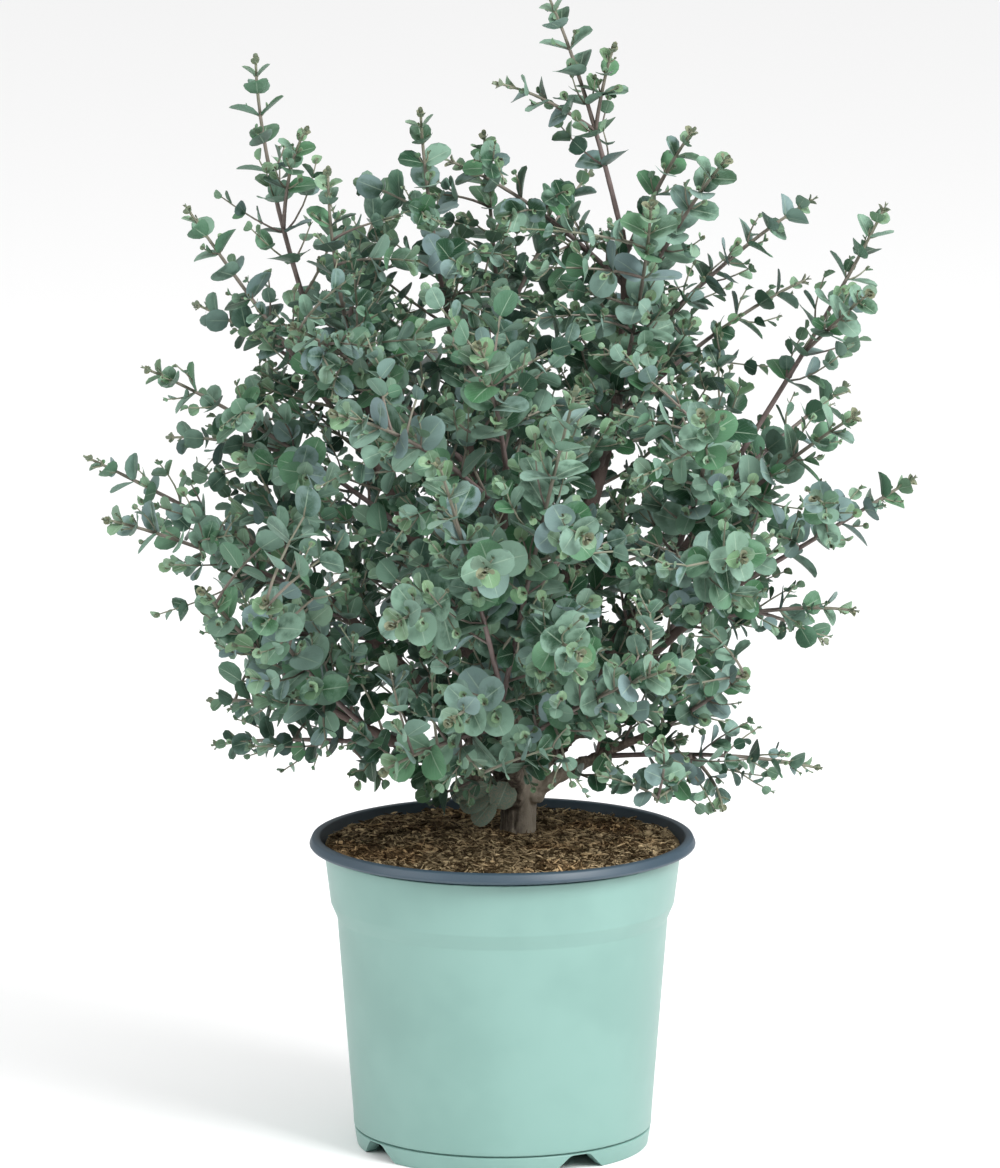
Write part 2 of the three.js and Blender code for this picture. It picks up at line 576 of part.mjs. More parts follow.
function drains() {
  const cuts = [];
  for (let i = 0; i < DRAINS; i++) {
    const hole = new THREE.CylinderGeometry(DRAIN_RADIUS, DRAIN_RADIUS, BASE_TOP, DRAIN_SIDES);
    hole.rotateX(90 * DEG).translate(DRAIN_CIRCLE, 0, BASE_TOP).rotateZ(((i + 0.5) / DRAINS) * 360 * DEG);
    cuts.push(solidOf(hole));
  }
  return cuts;
}

// The liner's rim is a rolled edge over the shell's lip, and from it the liner runs in and down past the
// soil's edge.
function potLiner() {
  const skin = LAYER + GAP;
  const floor = BASE_TOP + GAP;
  const outside = [[0, floor], ...wallSection(skin, floor), [WALL_TOP_RADIUS - skin, RIM_UNDERSIDE]];
  const rim = [
    [RIM_RADIUS - 0.6, RIM_UNDERSIDE],
    [RIM_RADIUS, RIM_UNDERSIDE + 1.6],
    [RIM_RADIUS - 1.8, POT_HEIGHT - 0.8],
    [RIM_RADIUS - 3.8, POT_HEIGHT],
    [RIM_RADIUS - 6.4, POT_HEIGHT - 0.6],
    [SOIL_RADIUS + 0.7, SOIL_LEVEL - 0.8],
    [SOIL_RADIUS - 2.2, SOIL_LEVEL - SOIL_BEVEL],
  ];
  const inside = [...wallSection(skin + LAYER, floor + LAYER).reverse(), [0, floor + LAYER]];
  return turned([...outside, ...rim, ...inside]);
}

// The medium's top rises and falls by a few sums of waves, and the trunk stands in a plain hole in it.
function soilTop(x, y) {
  const waves = Math.sin(0.11 * x + 0.4) * Math.cos(0.13 * y - 0.7) + 0.6 * Math.sin(0.27 * x - 0.21 * y);
  return SOIL_LEVEL + SOIL_RELIEF * waves;
}

function growingMedium() {
  const skin = 2 * LAYER + 2 * GAP;
  const floor = BASE_TOP + skin - LAYER;
  const side = [[0, floor], ...wallSection(skin, floor), [SOIL_RADIUS - 2.6, SOIL_LEVEL - SOIL_BEVEL]];
  const top = [[SOIL_RADIUS, SOIL_LEVEL - 0.7], ...SOIL_RINGS.map((r) => [r, SOIL_LEVEL])];
  const section = [...side, ...top].map(([r, z]) => new THREE.Vector2(r, z));
  const lathe = new THREE.LatheGeometry(section, ROUND_SEGMENTS);
  const place = lathe.rotateX(90 * DEG).attributes.position;
  for (let i = 0; i < place.count; i++)
    if (place.getZ(i) > SOIL_LEVEL - 0.01) place.setZ(i, soilTop(place.getX(i), place.getY(i)));
  const holeRadius = (TRUNK_RADIUS + GAP) / Math.cos(Math.PI / TRUNK_SIDES);
  const hole = new THREE.CylinderGeometry(holeRadius, holeRadius, TRUNK_DEPTH + 20, TRUNK_SIDES);
  hole.rotateX(90 * DEG).translate(TRUNK_FOOT.x, TRUNK_FOOT.y, TRUNK_FOOT.z - GAP + (TRUNK_DEPTH + 20) / 2);
  return solidOf(lathe).subtract(solidOf(hole));
}

// The wood: the trunk's buried foot is straight, so that it stands in the hole, and the limbs join it.
function wood(extra) {
  const footRadius = TRUNK_RADIUS - 0.8 + extra;
  const foot = new THREE.CylinderGeometry(footRadius, footRadius, TRUNK_DEPTH, TRUNK_SIDES);
  foot.rotateX(90 * DEG).translate(TRUNK_FOOT.x, TRUNK_FOOT.y, TRUNK_FOOT.z + TRUNK_DEPTH / 2);
  let whole = solidOf(foot);
  whole = whole.add(tube(limbs[0], 8, 3, extra));
  for (const limb of limbs.slice(1)) whole = whole.add(tube(limb, 4, 4, extra));
  return whole;
}

const plant = new THREE.Group();
const liner = potLiner();
let shell = potShell();
let lining = liner;
for (const cut of drains()) {
  shell = shell.subtract(cut);
  lining = lining.subtract(cut);
}
plant.add(meshOf("pot_outer_layer", shell, MINT));
plant.add(meshOf("pot_inner_layer", lining, SLATE));
plant.add(meshOf("growing_medium", growingMedium(), PEAT));
plant.add(meshOf("trunk_and_limbs", wood(0), BARK));

for (const limb of limbs) stems.push({ stem: limb, owner: "wood" });
for (const branch of BRANCHES) {
  branch.stem = carried(branch);
  branch.forked = branch.forks.map((tip) => forked(branch.stem, tip, branch.name));
  for (const stem of [branch.stem, ...branch.forked]) stems.push({ stem, owner: branch.name });
}

const woodWithRoom = wood(GAP);
BRANCHES.forEach((branch, i) => {
  const draw = seeded(1000 + 77 * i);
  const drawn = branch.forks.length ? DRAWN_PAIRS_BESIDE_FORK : DRAWN_PAIRS;
  let solid = leafyStem(branch.stem, leavesOn(branch.stem, branch.leaf, draw, branch.name, drawn));
  for (const stem of branch.forked) {
    const widest = branch.leaf * FORK_LEAF_SHARE;
    solid = solid.add(leafyStem(stem, leavesOn(stem, widest, draw, branch.name, DRAWN_PAIRS_ON_FORK)));
  }
  plant.add(meshOf("branch_" + branch.name, largest(solid.subtract(woodWithRoom)), FOLIAGE));
});

export default plant;
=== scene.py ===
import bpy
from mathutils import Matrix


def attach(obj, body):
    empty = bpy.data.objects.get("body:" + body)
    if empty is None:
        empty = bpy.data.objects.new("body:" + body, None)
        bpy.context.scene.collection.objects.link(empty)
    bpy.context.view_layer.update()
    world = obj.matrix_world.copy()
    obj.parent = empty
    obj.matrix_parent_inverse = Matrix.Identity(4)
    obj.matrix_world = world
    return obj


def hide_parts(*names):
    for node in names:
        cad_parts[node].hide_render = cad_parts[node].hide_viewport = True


bl_info = {
    "name": "Potted Cider Gum",
    "version": (1, 0, 0),
    "blender": (4, 5, 0),
    "location": "View3D > Sidebar > Cider Gum",
    "description": "Dresses a potted young cider gum: fine leaves, bark, compost and moulded plastic",
    "category": "Add Mesh",
}

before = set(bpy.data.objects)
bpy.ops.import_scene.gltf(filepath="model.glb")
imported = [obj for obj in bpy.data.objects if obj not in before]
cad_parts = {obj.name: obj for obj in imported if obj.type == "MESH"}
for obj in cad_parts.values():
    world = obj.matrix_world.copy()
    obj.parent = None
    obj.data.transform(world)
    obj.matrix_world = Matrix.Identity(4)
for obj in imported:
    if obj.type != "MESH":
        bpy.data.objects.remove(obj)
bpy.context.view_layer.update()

import functools
import math
import random

import bmesh
import bpy
import numpy as np
from mathutils import Vector, noise

# Lengths are in millimetres and MM turns them into the scene's metres. The origin is on the ground
# under the pot's centre, +Z is up and -Y is towards the viewer.
MM = 0.001

# Pot, as the solids have it.
GAP = 0.3
POT_HEIGHT = 187
RIM_RADIUS = 115
LAYER = 1.2
FOOT_HEIGHT = 10.5
FOOT_RADIUS = 86.8
FOOT_WIDTH = 7
FOOT_FLARE = 1.7  # how much wider the foot ring is at its top
WALL_STATIONS = [(89.2, 20), (98.4, 138), (102.2, 147)]
HEEL_RADIUS = 88.8
HEEL_RISE = 1.3  # of the wall's heel over the foot ring
WALL_TOP = 178
WALL_TOP_RADIUS = 106
RIM_UNDERSIDE = WALL_TOP + GAP
BASE_TOP = FOOT_HEIGHT + 1.5
GROOVE_DEPTH = 0.4  # of the groove over the foot, under the foot's radius
GROOVE_EDGES = (0.3, 0.9)  # over the foot ring
RIM_SLOPE = 2.2  # how much higher the rim's underside is at its edge than at the wall
# The rolled rim from its underside round to the inside: how far inside the rim's radius, and the height.
RIM_SECTION = (
    (1.2, RIM_UNDERSIDE + RIM_SLOPE),
    (0, RIM_UNDERSIDE + RIM_SLOPE + 1.4),
    (1.8, POT_HEIGHT - 0.8),
    (3.8, POT_HEIGHT),
    (6.4, POT_HEIGHT - 0.6),
)
NOTCHES = 4
NOTCH_TOP_WIDTH = 13
NOTCH_FOOT_WIDTH = 34
NOTCH_ANGLE = 31.5
NOTCH_ROUNDING = 2.5
NOTCH_REACH = 12  # of a notch's cutter, to either side of the foot's radius
DRAINS = 6
DRAIN_RADIUS = 6
DRAIN_CIRCLE = 58
DRAIN_CUT = (2, 17)  # heights between which the drain holes are cut
DRAIN_SEGMENTS = 32

# Sides of round stems, and the angles in degrees over which an edge is drawn sharp.
CROWN_SIDES = 16
LIMB_SIDES = 14
STEM_SIDES = 7
SHOOT_SIDES = 5
POT_SHARP_ANGLE = 40
LEAF_SHARP_ANGLE = 70
FIBRE_SHARP_ANGLE = 30

# Growing medium.
SOIL_LEVEL = 181.5
SOIL_RADIUS = 105.6
SOIL_RELIEF = 1.1
SOIL_BEVEL = 3.2
SOIL_RINGS = 70
SOIL_SEGMENTS = 200
CRUMB_HEIGHT = 1.2
CLOD_HEIGHT = 1.4
CRACK_DEPTH = 2.2
CRACK_WIDTH = 0.16
CHIP_SHARE = 0.3  # of the fibres that are broad chips
TRUNK_DEPTH = 34

# Trunk and limbs: name, radius at both ends, and a cubic curve of start, two pulls and end.
FORK = (11, 33, 226)
TRUNK_FOOT = (9, 36, SOIL_LEVEL - TRUNK_DEPTH)
TRUNK_RADIUS = 11.4
LIMBS = [
    ("trunk", (TRUNK_RADIUS, 9.5), ((9, 36, 179), (9, 36, 194), (12, 36, 208), FORK)),
    ("leader", (7, 2.6), ((11, 33, 214), (16, 28, 300), (88, 32, 430), (70, 28, 545))),
    ("left_up", (6, 2.2), ((11, 34, 212), (-14, 18, 290), (-62, 4, 380), (-108, 8, 478))),
    ("left", (5.5, 2.0), ((10, 34, 206), (-34, 22, 262), (-84, 14, 310), (-132, 8, 352))),
    ("left_low", (4.6, 1.8), ((9, 32, 202), (-30, 4, 232), (-72, -18, 246), (-110, -20, 272))),
    ("right_up", (6, 2.2), ((12, 33, 214), (50, 22, 284), (108, 8, 344), (140, 6, 414))),
    ("right", (5.5, 2.0), ((12, 35, 208), (52, 34, 256), (96, 26, 302), (144, 14, 338))),
    ("right_low", (5.2, 1.8), ((13, 33, 200), (40, 26, 226), (68, 10, 236), (100, 8, 252))),
    ("front_up", (5.8, 2.2), ((11, 30, 216), (6, -16, 286), (-4, -58, 340), (2, -78, 420))),
    ("front_low", (5.2, 1.9), ((11, 29, 206), (4, -24, 244), (-4, -70, 262), (-2, -116, 300))),
    ("rear_up", (5.6, 2.2), ((11, 37, 216), (12, 70, 286), (4, 96, 350), (2, 104, 430))),
    ("rear_low", (5.0, 1.9), ((11, 38, 206), (2, 76, 240), (-8, 112, 272), (-4, 140, 310))),
    ("middle", (5.4, 2.2), ((11, 34, 218), (4, 30, 300), (-16, 24, 380), (-26, 34, 456))),
]

# Knobs of the old crown where shoots were cut back: place and radius.
CROWN_KNOBS = (
    (6, 28, 206, 10), (16, 32, 214, 9.5), (3, 34, 216, 8),
    (12, 40, 210, 9), (10, 26, 218, 8), (20, 30, 205, 6),
)
CROWN_REACH = 95  # how far from the fork the wood is joined finely
WOOD_VOXEL = 1.15
# Relief of the crown's bark, and what smooth wood keeps of its flakes.
FLAKE_HEIGHT = 1.9
FURROW_DEPTH = 2.6
FURROW_WIDTH = 0.25
SMOOTH_FLAKES = 0.2
SMOOTH_FROM = 25  # distance from the fork at which the wood starts to turn smooth,
SMOOTH_OVER = 60  # and the length over which it does

# Leafy branches: name, seat (the limb and the share of its length, where they are given), tip, width of
# the widest leaf, and the tips of the forks.
BRANCHES = [
    ("leader_tip", (), (27, 25, 684), 24, [(65, 10, 655), (-2, 20, 633)]),
    ("crown_left", ("left_up",), (-145, 20, 647), 23, [(-115, -20, 610)]),
    ("crown_inner_left", (), (-48, 0, 618), 22, []),
    ("crown_middle_left", ("leader", 0.9), (-31, 30, 586), 22, []),
    ("crown_middle", (), (-11, 70, 596), 22, []),
    ("crown_right", ("leader", 0.95), (111, 0, 607), 22, []),
    ("crown_outer_right", ("leader", 0.84), (130, -40, 596), 22, []),
    ("column_right", ("leader", 0.56), (86, -60, 571), 27, []),
    ("left_high", ("left_up", 0.72), (-185, 10, 560), 22, [(-182, 60, 496)]),
    ("left_middle", ("left_up", 0.58), (-209, -10, 468), 22, [(-198, 60, 416)]),
    ("left_far", ("left", 1), (-245, 15, 411), 20, []),
    ("left_far_low", ("left", 0.8), (-231, -45, 384), 23, []),
    ("left_front_low", (), (-173, -90, 350), 23, []),
    ("left_low", (), (-163, -50, 308), 21, []),
    ("left_drop", (), (-174, 20, 264), 17, []),
    ("right_high", ("leader", 0.76), (183, 30, 563), 21, []),
    ("right_crown", ("right_up", 1), (224, 0, 562), 22, [(213, -60, 520)]),
    ("right_inner", ("leader", 0.66), (180, 60, 511), 22, []),
    ("right_middle", ("right_up", 0.9), (204, 48, 448), 22, []),
    ("right_middle_front", ("right_up", 0.76), (206, -40, 445), 24, []),
    ("right_far", ("right", 1), (242, 15, 398), 23, [(182, -70, 401)]),
    ("right_low", (), (208, 0, 322), 20, [(193, 50, 294)]),
    ("right_drop", (), (141, -60, 295), 21, []),
    ("right_floor", (), (188, 25, 222), 18, [(130, -20, 207), (91, -50, 219)]),
    ("front_left", (), (-95, -170, 466), 25, []),
    ("front_middle", (), (-36, -188, 440), 26, []),
    ("front_top", (), (-13, -150, 502), 28, []),
    ("front_right", (), (41, -180, 480), 27, []),
    ("front_centre", (), (-10, -218, 384), 28, []),
    ("front_centre_left", (), (-62, -210, 352), 27, []),
    ("front_centre_right", (), (48, -214, 402), 25, []),
    ("front_lower_right", (), (44, -206, 334), 25, []),
    ("front_lower", (), (-30, -190, 292), 25, []),
    ("front_floor", (), (-68, -140, 254), 26, [(-12, -110, 246)]),
    ("front_outer_left", (), (-136, -140, 352), 25, []),
    ("front_outer_right", (), (138, -148, 380), 24, []),
    ("front_high_right", (), (114, -146, 462), 24, []),
    ("front_low_right", (), (96, -166, 318), 23, []),
    ("rear_left", (), (-152, 134, 430), 22, []),
    ("rear_high_left", (), (-92, 176, 486), 23, []),
    ("rear_middle", (), (4, 214, 440), 24, []),
    ("rear_high_right", (), (96, 178, 480), 23, []),
    ("rear_right", (), (160, 132, 416), 22, []),
    ("rear_top_left", (), (-66, 122, 560), 22, []),
    ("rear_top_right", (), (52, 128, 566), 22, []),
    ("rear_low_left", (), (-116, 172, 330), 22, []),
    ("rear_low", (), (0, 222, 330), 23, []),
    ("rear_low_right", (), (112, 180, 330), 22, []),
    ("rear_floor_left", (), (-66, 150, 250), 20, []),
    ("rear_floor_right", (), (62, 156, 248), 20, []),
    ("left_inner_high", ("left_up",), (-102, -14, 585), 22, []),
    ("left_inner", (), (-122, -58, 500), 22, []),
    ("left_floor", ("left_low", 0.58), (-172, 40, 233), 17, []),
]

# How branches run, as in the solids.
STEM_SAMPLES = 24
BRANCH_RADIUS = (1.7, 0.8)
FORK_RADIUS = (1.3, 0.7)
BRANCH_CLEARANCE = 4
ROOT_REACH = 16
FORK_SHARES = (0.42, 0.32, 0.52, 0.62)
CARRIER_SHARES = (0.4, 0.52, 0.64, 0.76, 0.88, 1)
SPRING_SPACING = 7
SETTING_OUT = 0.16
BOW_OUT = 0.03
BOW_DOWN = 0.02
BOW_FROM = 250
BOW_RISE = 300
TURN_COST = 110
CROWD_COST = 70
CROWD_REACH = 14
SHORT_COST = 200
SHORT_LENGTH = 70
CHOICES = 10

# How leaves grow, as in the solids.
FIRST_PAIR = 3
PAIR_GAP = 4
PAIR_SPACING = 0.62
LEAF_SIZES = (0.22, 0.42, 0.64, 0.84, 0.96, 1)
FULL_GROWN_PAIR = 4  # counted from the tip
LEAFY_SHARE = 0.78
FORK_LEAF_SHARE = 0.85
DRAWN_PAIRS = (1, 2, 4, 7)
DRAWN_PAIRS_BESIDE_FORK = (1, 2, 4)
DRAWN_PAIRS_ON_FORK = (1, 2)
SPLAY_AT_TIP = 44
SPLAY_STEP = 5
SPLAY_STEPS = 5
SPLAY_DRAW = 16
TWIST_DRAW = 0.8
WIDTH_DRAW = 0.2
ROLL_DRIFT = 0.004
LEAST_SPLAY = 0.55
LEAF_ASPECT = 0.9
LEAF_CENTRE = 0.56
LEAF_MARGIN = 0.6
LEAF_LIFT = 2.6
STEM_MARGIN = 1.8
BENDS = ((0, 0), (0, 0.6), (0, -0.6), (-0.35, 0), (0.35, 0), (-0.35, 0.6), (-0.35, -0.6), (0.4, 0.9))

# Side shoots, which the solids leave out: they spring from the axils between leaf and stem, each a stalk
# with a cluster of buds near a branch's tip and a leafy shoot of its own further back.
SHOOT_CHANCE = 0.94
SHOOT_LENGTHS = (3.5, 5.5, 9, 14, 20, 28, 38, 48)
SHOOT_LENGTH_DRAW = (0.55, 1.45)
HIGH = 540  # branches that end higher than this bear shorter shoots, by this share
HIGH_SHARE = 0.65
SHOOT_LEAN = (24, 50)
SHOOT_RADIUS = (0.7, 0.42)
SHOOT_SAMPLES = 8
SHOOT_LEAVES = (0.14, 0.19, 0.28, 0.4, 0.5, 0.58, 0.63, 0.68)  # widest leaf over its branch's
SHOOT_LEAF_DRAW = (0.8, 1.2)
SHOOT_SIZES = (0.42, 0.62, 0.82, 1)
SHOOT_PAIR_SPACING = 0.9
SHOOT_LEAFY_SHARE = 0.84
SHOOT_SPLAY = 34
SHOOT_SPLAY_STEP = 7
SHOOT_SPLAY_DRAW = 10
SHOOT_LEAST_SPLAY = 0.4
SHOOT_TWIST_DRAW = 0.45
SHOOT_WIDTH_DRAW = (0.85, 1.15)
BUD_SHARE = 0.13
BUD_AGE = -0.3
BUD_SPREAD = 0.25

# Inner shoots, which fill the bush from its limbs and from the bare feet of its branches.
INNER_SPACING = 11.5
INNER_FROM = 0.22  # share of a limb's length where they start,
BARE_FOOT_FROM = 0.12  # and of a branch's
BRANCH_OUTWARD = 0.2  # how much they point outwards on a branch
LIMB_OUTWARD = 0.35  # and on a limb
INNER_TURN = 2.4  # round the stem, from one inner shoot to the next
INNER_LENGTH = (38, 105)
INNER_SHORTENED = 0.55  # where the whole length would leave the outline
INNER_RADIUS = (1.0, 0.5)
INNER_SAMPLES = 12
INNER_RIPENESS = 0.8
INNER_LEAF = (12, 21)
INNER_SIZES = (0.3, 0.52, 0.76, 0.92, 1)
INNER_PAIR_GAP = 3.0
INNER_PAIR_SPACING = 0.72
OFFSHOOT_CHANCE = 0.5  # of each pair on an inner shoot
OFFSHOOT_LENGTH = (8, 22)
OFFSHOOT_LEAF_SHARE = 0.55
OFFSHOOT_PAIR_GAP = 1.6
OFFSHOOT_RIPENESS = 0.5
OUTWARD_DROP = 60.0  # shoots point away from the trunk's line, from this far under them
# The outline of the bush's dense inside: height, the middle's x there, and the reach from that middle.
OUTLINE = ((215, 0, 60), (240, 0, 120), (300, 0, 160), (380, 0, 176), (450, -6, 166), (500, -16, 134),
           (545, -25, 92), (585, -20, 50), (610, -20, 0))
MIDDLE_Y = 10
# Shoots that fill the hollows left inside: tries, how far a hollow is from any leaf, and how long the
# shoots may be. A start over the hollow counts as further off, by this share.
HOLLOW_TRIES = 2600
HOLLOW_REACH = 17
HOLLOW_LENGTH = (18, 110)
HOLLOW_DROOP_COST = 0.6

# Old mottled leaves that hang beside the trunk: seat, way to the tip, way that the upper face looks,
# width and length.
OLD_TWIG = ((6, 24, 216), (-2, 12, 220), (-9, 12, 206))
OLD_LEAVES = [
    ((-8, 12, 214), (-1, -0.15, -0.1), (0.05, -0.75, 0.65), 24, 27),
    ((3, 14, 216), (-0.35, -0.2, -0.9), (0.1, -0.9, 0.2), 22, 22),
    ((-8, 14, 210), (-0.9, -0.1, -0.45), (0, -0.8, 0.5), 23, 25),
    ((-5, 13, 205), (-0.65, -0.1, -0.75), (-0.2, -0.9, 0.3), 18, 24),
]
OLD_AGE = 2.0
OLD_INDEX = 99

# Blades: rows and columns for each size of leaf, and the least width that each is for.
BLADE_GRIDS = ((8, 4, 18), (6, 4, 11), (5, 2, 5), (4, 2, 0))
BLADE_THICKNESS = 0.5
BLADE_ROUNDNESS = 0.86
BLADE_SHARE = 0.79  # a full-grown blade's size over the one that the solids draw,
TIP_SHARE = 0.3  # and what the youngest have on top of that
# How far blades fold along the midrib, cup and curl back, and how much more of it the young ones have.
FOLD = (0.05, 0.28)
YOUNG_FOLD = 0.25
CUP = (0.0, 0.3)
YOUNG_CUP = 0.35
CURL = (0.02, 0.2)
YOUNG_CURL = -0.12
SKEW = 0.12
RIPPLE = 0.03

# A branch's bloom, by how far its tip is from the middle: it is less to the back and more to the sides, as
# painted shade at the back and painted light on the front and the outer sides, and less high up. Inner
# shoots get the least bloom, as painted shade inside the bush.
BLOOM_MIDDLE = 0.38
PAINTED_SHADE_TO_BACK = 0.0014
PAINTED_LIGHT_TO_SIDES = 0.0017
BLOOM_UPWARDS = 0.0002
BLOOM_HEIGHT = 400
BLOOM_RANGE = (0.24, 0.95)
BLOOM_SPREAD = 0.34
INNER_BLOOM_PAINTED_SHADE = -0.22

# Seeds of the random draws. Each branch adds its own index, so that one can change without the others.
SOLIDS_SEED = 1000
SOLIDS_SEED_STEP = 77
TONE_SEED = 400
HOLLOW_SEED = 6000
BARE_FOOT_SEED = 7000
LIMB_SEED = 8000
AXIL_SEED = 9000
CRUMB_SEED = 31
FIBRE_SEED = 32

# Colours of the finishes that no setting holds.
LEAF_BUD = (0.20, 0.19, 0.12)
LEAF_UNDER_FACE = (0.10, 0.18, 0.15)
LEAF_OLD = (0.19, 0.29, 0.23)
LEAF_SPOTS = (0.30, 0.26, 0.19)
LEAF_EDGE = (0.075, 0.085, 0.055)
TWIG_YOUNG = (0.22, 0.26, 0.165)
TWIG_DUSTED = (0.24, 0.19, 0.18)
TWIG_DARK = (0.07, 0.045, 0.035)
BARK_PATCHES = (0.26, 0.22, 0.17)
BARK_STREAKS = (0.035, 0.026, 0.018)
BARK_LIMB = (0.12, 0.086, 0.075)
BARK_FURROWS = (0.03, 0.022, 0.016)
BARK_PALE_STEM_AND_LIT_SIDE = (0.38, 0.33, 0.26)
PEAT_DARK = (0.05, 0.024, 0.012)
PEAT_WARMTH = (1.1, 0.96, 0.85)

# Stage, in metres: the floor, the lamps and a long lens that looks down a little on the plant's middle.
FLOOR_REACH = 12.0
KEY_PLACE = (2.1, -2.0, 2.5)
FILL_PLACE = (-2.4, -1.2, 1.6)
FILL_SHARE = 0.2  # of the key light's power
LAMP_SIZE = 1.6
LAMP_AIM = (0, 0, 0.35)
CAMERA_AIM = (-0.0015, 0.0, 0.338)
CAMERA_DISTANCE = 5.0
CAMERA_ELEVATION = 10.1
CAMERA_LENS = 260.6


class CiderGumPot(bpy.types.PropertyGroup):
    """Sizes and colours of the pot's two layers."""

    segments: bpy.props.IntProperty(
        name="Segments", description="Faces round the pot", default=144, min=32
    )
    mint: bpy.props.FloatVectorProperty(
        name="Outer layer", description="Colour of the outer plastic",
        subtype="COLOR", default=(0.178, 0.320, 0.286)
    )
    slate: bpy.props.FloatVectorProperty(
        name="Inner layer", description="Colour of the inner plastic",
        subtype="COLOR", default=(0.030, 0.056, 0.080)
    )


class CiderGumMedium(bpy.types.PropertyGroup):
    """The compost and the fibres on it."""

    fibres: bpy.props.IntProperty(
        name="Fibres", description="Fibres and chips that lie on the compost", default=5600, min=0
    )
    damp: bpy.props.FloatVectorProperty(
        name="Damp peat", description="Darkest colour of the compost",
        subtype="COLOR", default=(0.036, 0.022, 0.006)
    )
    dry: bpy.props.FloatVectorProperty(
        name="Dry fibre", description="Palest colour of the compost",
        subtype="COLOR", default=(0.61, 0.47, 0.275)
    )


class CiderGumPlant(bpy.types.PropertyGroup):
    """Colours of leaves, stems and bark."""

    bloomed: bpy.props.FloatVectorProperty(
        name="Bloomed leaf", description="Leaf under its full waxy bloom",
        subtype="COLOR", default=(0.190, 0.318, 0.240)
    )
    bare: bpy.props.FloatVectorProperty(
        name="Bare leaf", description="Leaf that has lost its bloom",
        subtype="COLOR", default=(0.014, 0.058, 0.026)
    )
    bluish: bpy.props.FloatVectorProperty(
        name="Bluish leaf", description="Leaf whose bloom looks blue",
        subtype="COLOR", default=(0.17, 0.25, 0.265)
    )
    fresh: bpy.props.FloatVectorProperty(
        name="Fresh leaf", description="Vivid green leaf",
        subtype="COLOR", default=(0.050, 0.165, 0.065)
    )
    young: bpy.props.FloatVectorProperty(
        name="Young leaf", description="Leaf at a growing tip",
        subtype="COLOR", default=(0.20, 0.32, 0.17)
    )
    rib: bpy.props.FloatVectorProperty(
        name="Midrib", description="Colour of a leaf's midrib",
        subtype="COLOR", default=(0.36, 0.48, 0.36)
    )
    twig: bpy.props.FloatVectorProperty(
        name="Twig", description="Colour of a ripe branch",
        subtype="COLOR", default=(0.150, 0.110, 0.104)
    )
    bark: bpy.props.FloatVectorProperty(
        name="Bark", description="Colour of the trunk's bark",
        subtype="COLOR", default=(0.13, 0.105, 0.078)
    )


class CiderGumStage(bpy.types.PropertyGroup):
    """Floor and light."""

    floor: bpy.props.FloatVectorProperty(
        name="Floor", description="Colour of the plain floor",
        subtype="COLOR", default=(0.93, 0.93, 0.93)
    )
    key: bpy.props.FloatProperty(
        name="Key light", description="Power of the soft key light in watts",
        unit="POWER", default=150.0, min=0.0
    )
    zenith: bpy.props.FloatProperty(
        name="Light from above", description="Strength of the white surroundings overhead",
        default=1.3, min=0.0
    )
    horizon: bpy.props.FloatProperty(
        name="Light from the sides", description="Strength of the white surroundings at eye level",
        default=0.12, min=0.0
    )


def draws(seed):
    """Repeatable draws between 0 and 1, the same as the solids use."""
    state = seed
    while True:
        state = (state * 1664525 + 1013904223) % 4294967296
        yield state / 4294967296


def unit(vector):
    return vector / np.linalg.norm(vector)


def clamp(value, low=0, high=1):
    """The value, kept between low and high."""
    return min(max(value, low), high)


def turned_about(vector, axis, angle):
    """The vector turned by an angle about a unit axis."""
    across = np.cross(axis, vector)
    along = axis * np.dot(axis, vector)
    return vector * math.cos(angle) + across * math.sin(angle) + along * (1 - math.cos(angle))


def away_from_trunk(place):
    """The way outwards and up, seen from the trunk's line under a place."""
    return unit(place - np.array((FORK[0], FORK[1], place[2] - OUTWARD_DROP)))


# Growth
class Stem:
    """A curve of evenly drawn points with a taper."""

    def __init__(self, points, radii):
        self.points = np.array(points, dtype=float)
        self.radii = radii
        steps = np.linalg.norm(np.diff(self.points, axis=0), axis=1)
        self.reach = np.concatenate(([0.0], np.cumsum(steps)))
        self.length = self.reach[-1]
        chord = unit(self.points[-1] - self.points[0])
        up = np.array((0.0, 1.0, 0.0) if abs(chord[2]) > 0.95 else (0.0, 0.0, 1.0))
        self.side = unit(np.cross(chord, up))

    def at(self, distance):
        """The point, direction and radius at a distance from the stem's foot."""
        s = clamp(distance, 0.0, self.length)
        i = min(max(int(np.searchsorted(self.reach, s)), 1), len(self.points) - 1)
        share = (s - self.reach[i - 1]) / (self.reach[i] - self.reach[i - 1])
        step = self.points[i] - self.points[i - 1]
        radius = self.radii[0] + (self.radii[1] - self.radii[0]) * s / self.length
        return self.points[i - 1] + step * share, unit(step), radius

    def ring_frame(self, distance, start):
        """The point, direction, radius and cross directions there. A stem's pairs turn slowly along it."""
        point, along, radius = self.at(distance)
        flat = unit(self.side - along * np.dot(self.side, along))
        turn = start + ROLL_DRIFT * distance
        side = flat * math.cos(turn) + np.cross(along, flat) * math.sin(turn)
        return point, along, radius, side, np.cross(along, side)


def quadratic(start, pull, end, samples=STEM_SAMPLES):
    t = np.linspace(0, 1, samples + 1)[:, None]
    return start * (1 - t) ** 2 + pull * 2 * t * (1 - t) + end * t * t


def cubic(curve):
    start, first, second, end = (np.array(place, dtype=float) for place in curve)
    t = np.linspace(0, 1, STEM_SAMPLES + 1)[:, None]
    u = 1 - t
    return start * u**3 + first * 3 * u * u * t + second * 3 * u * t * t + end * t**3


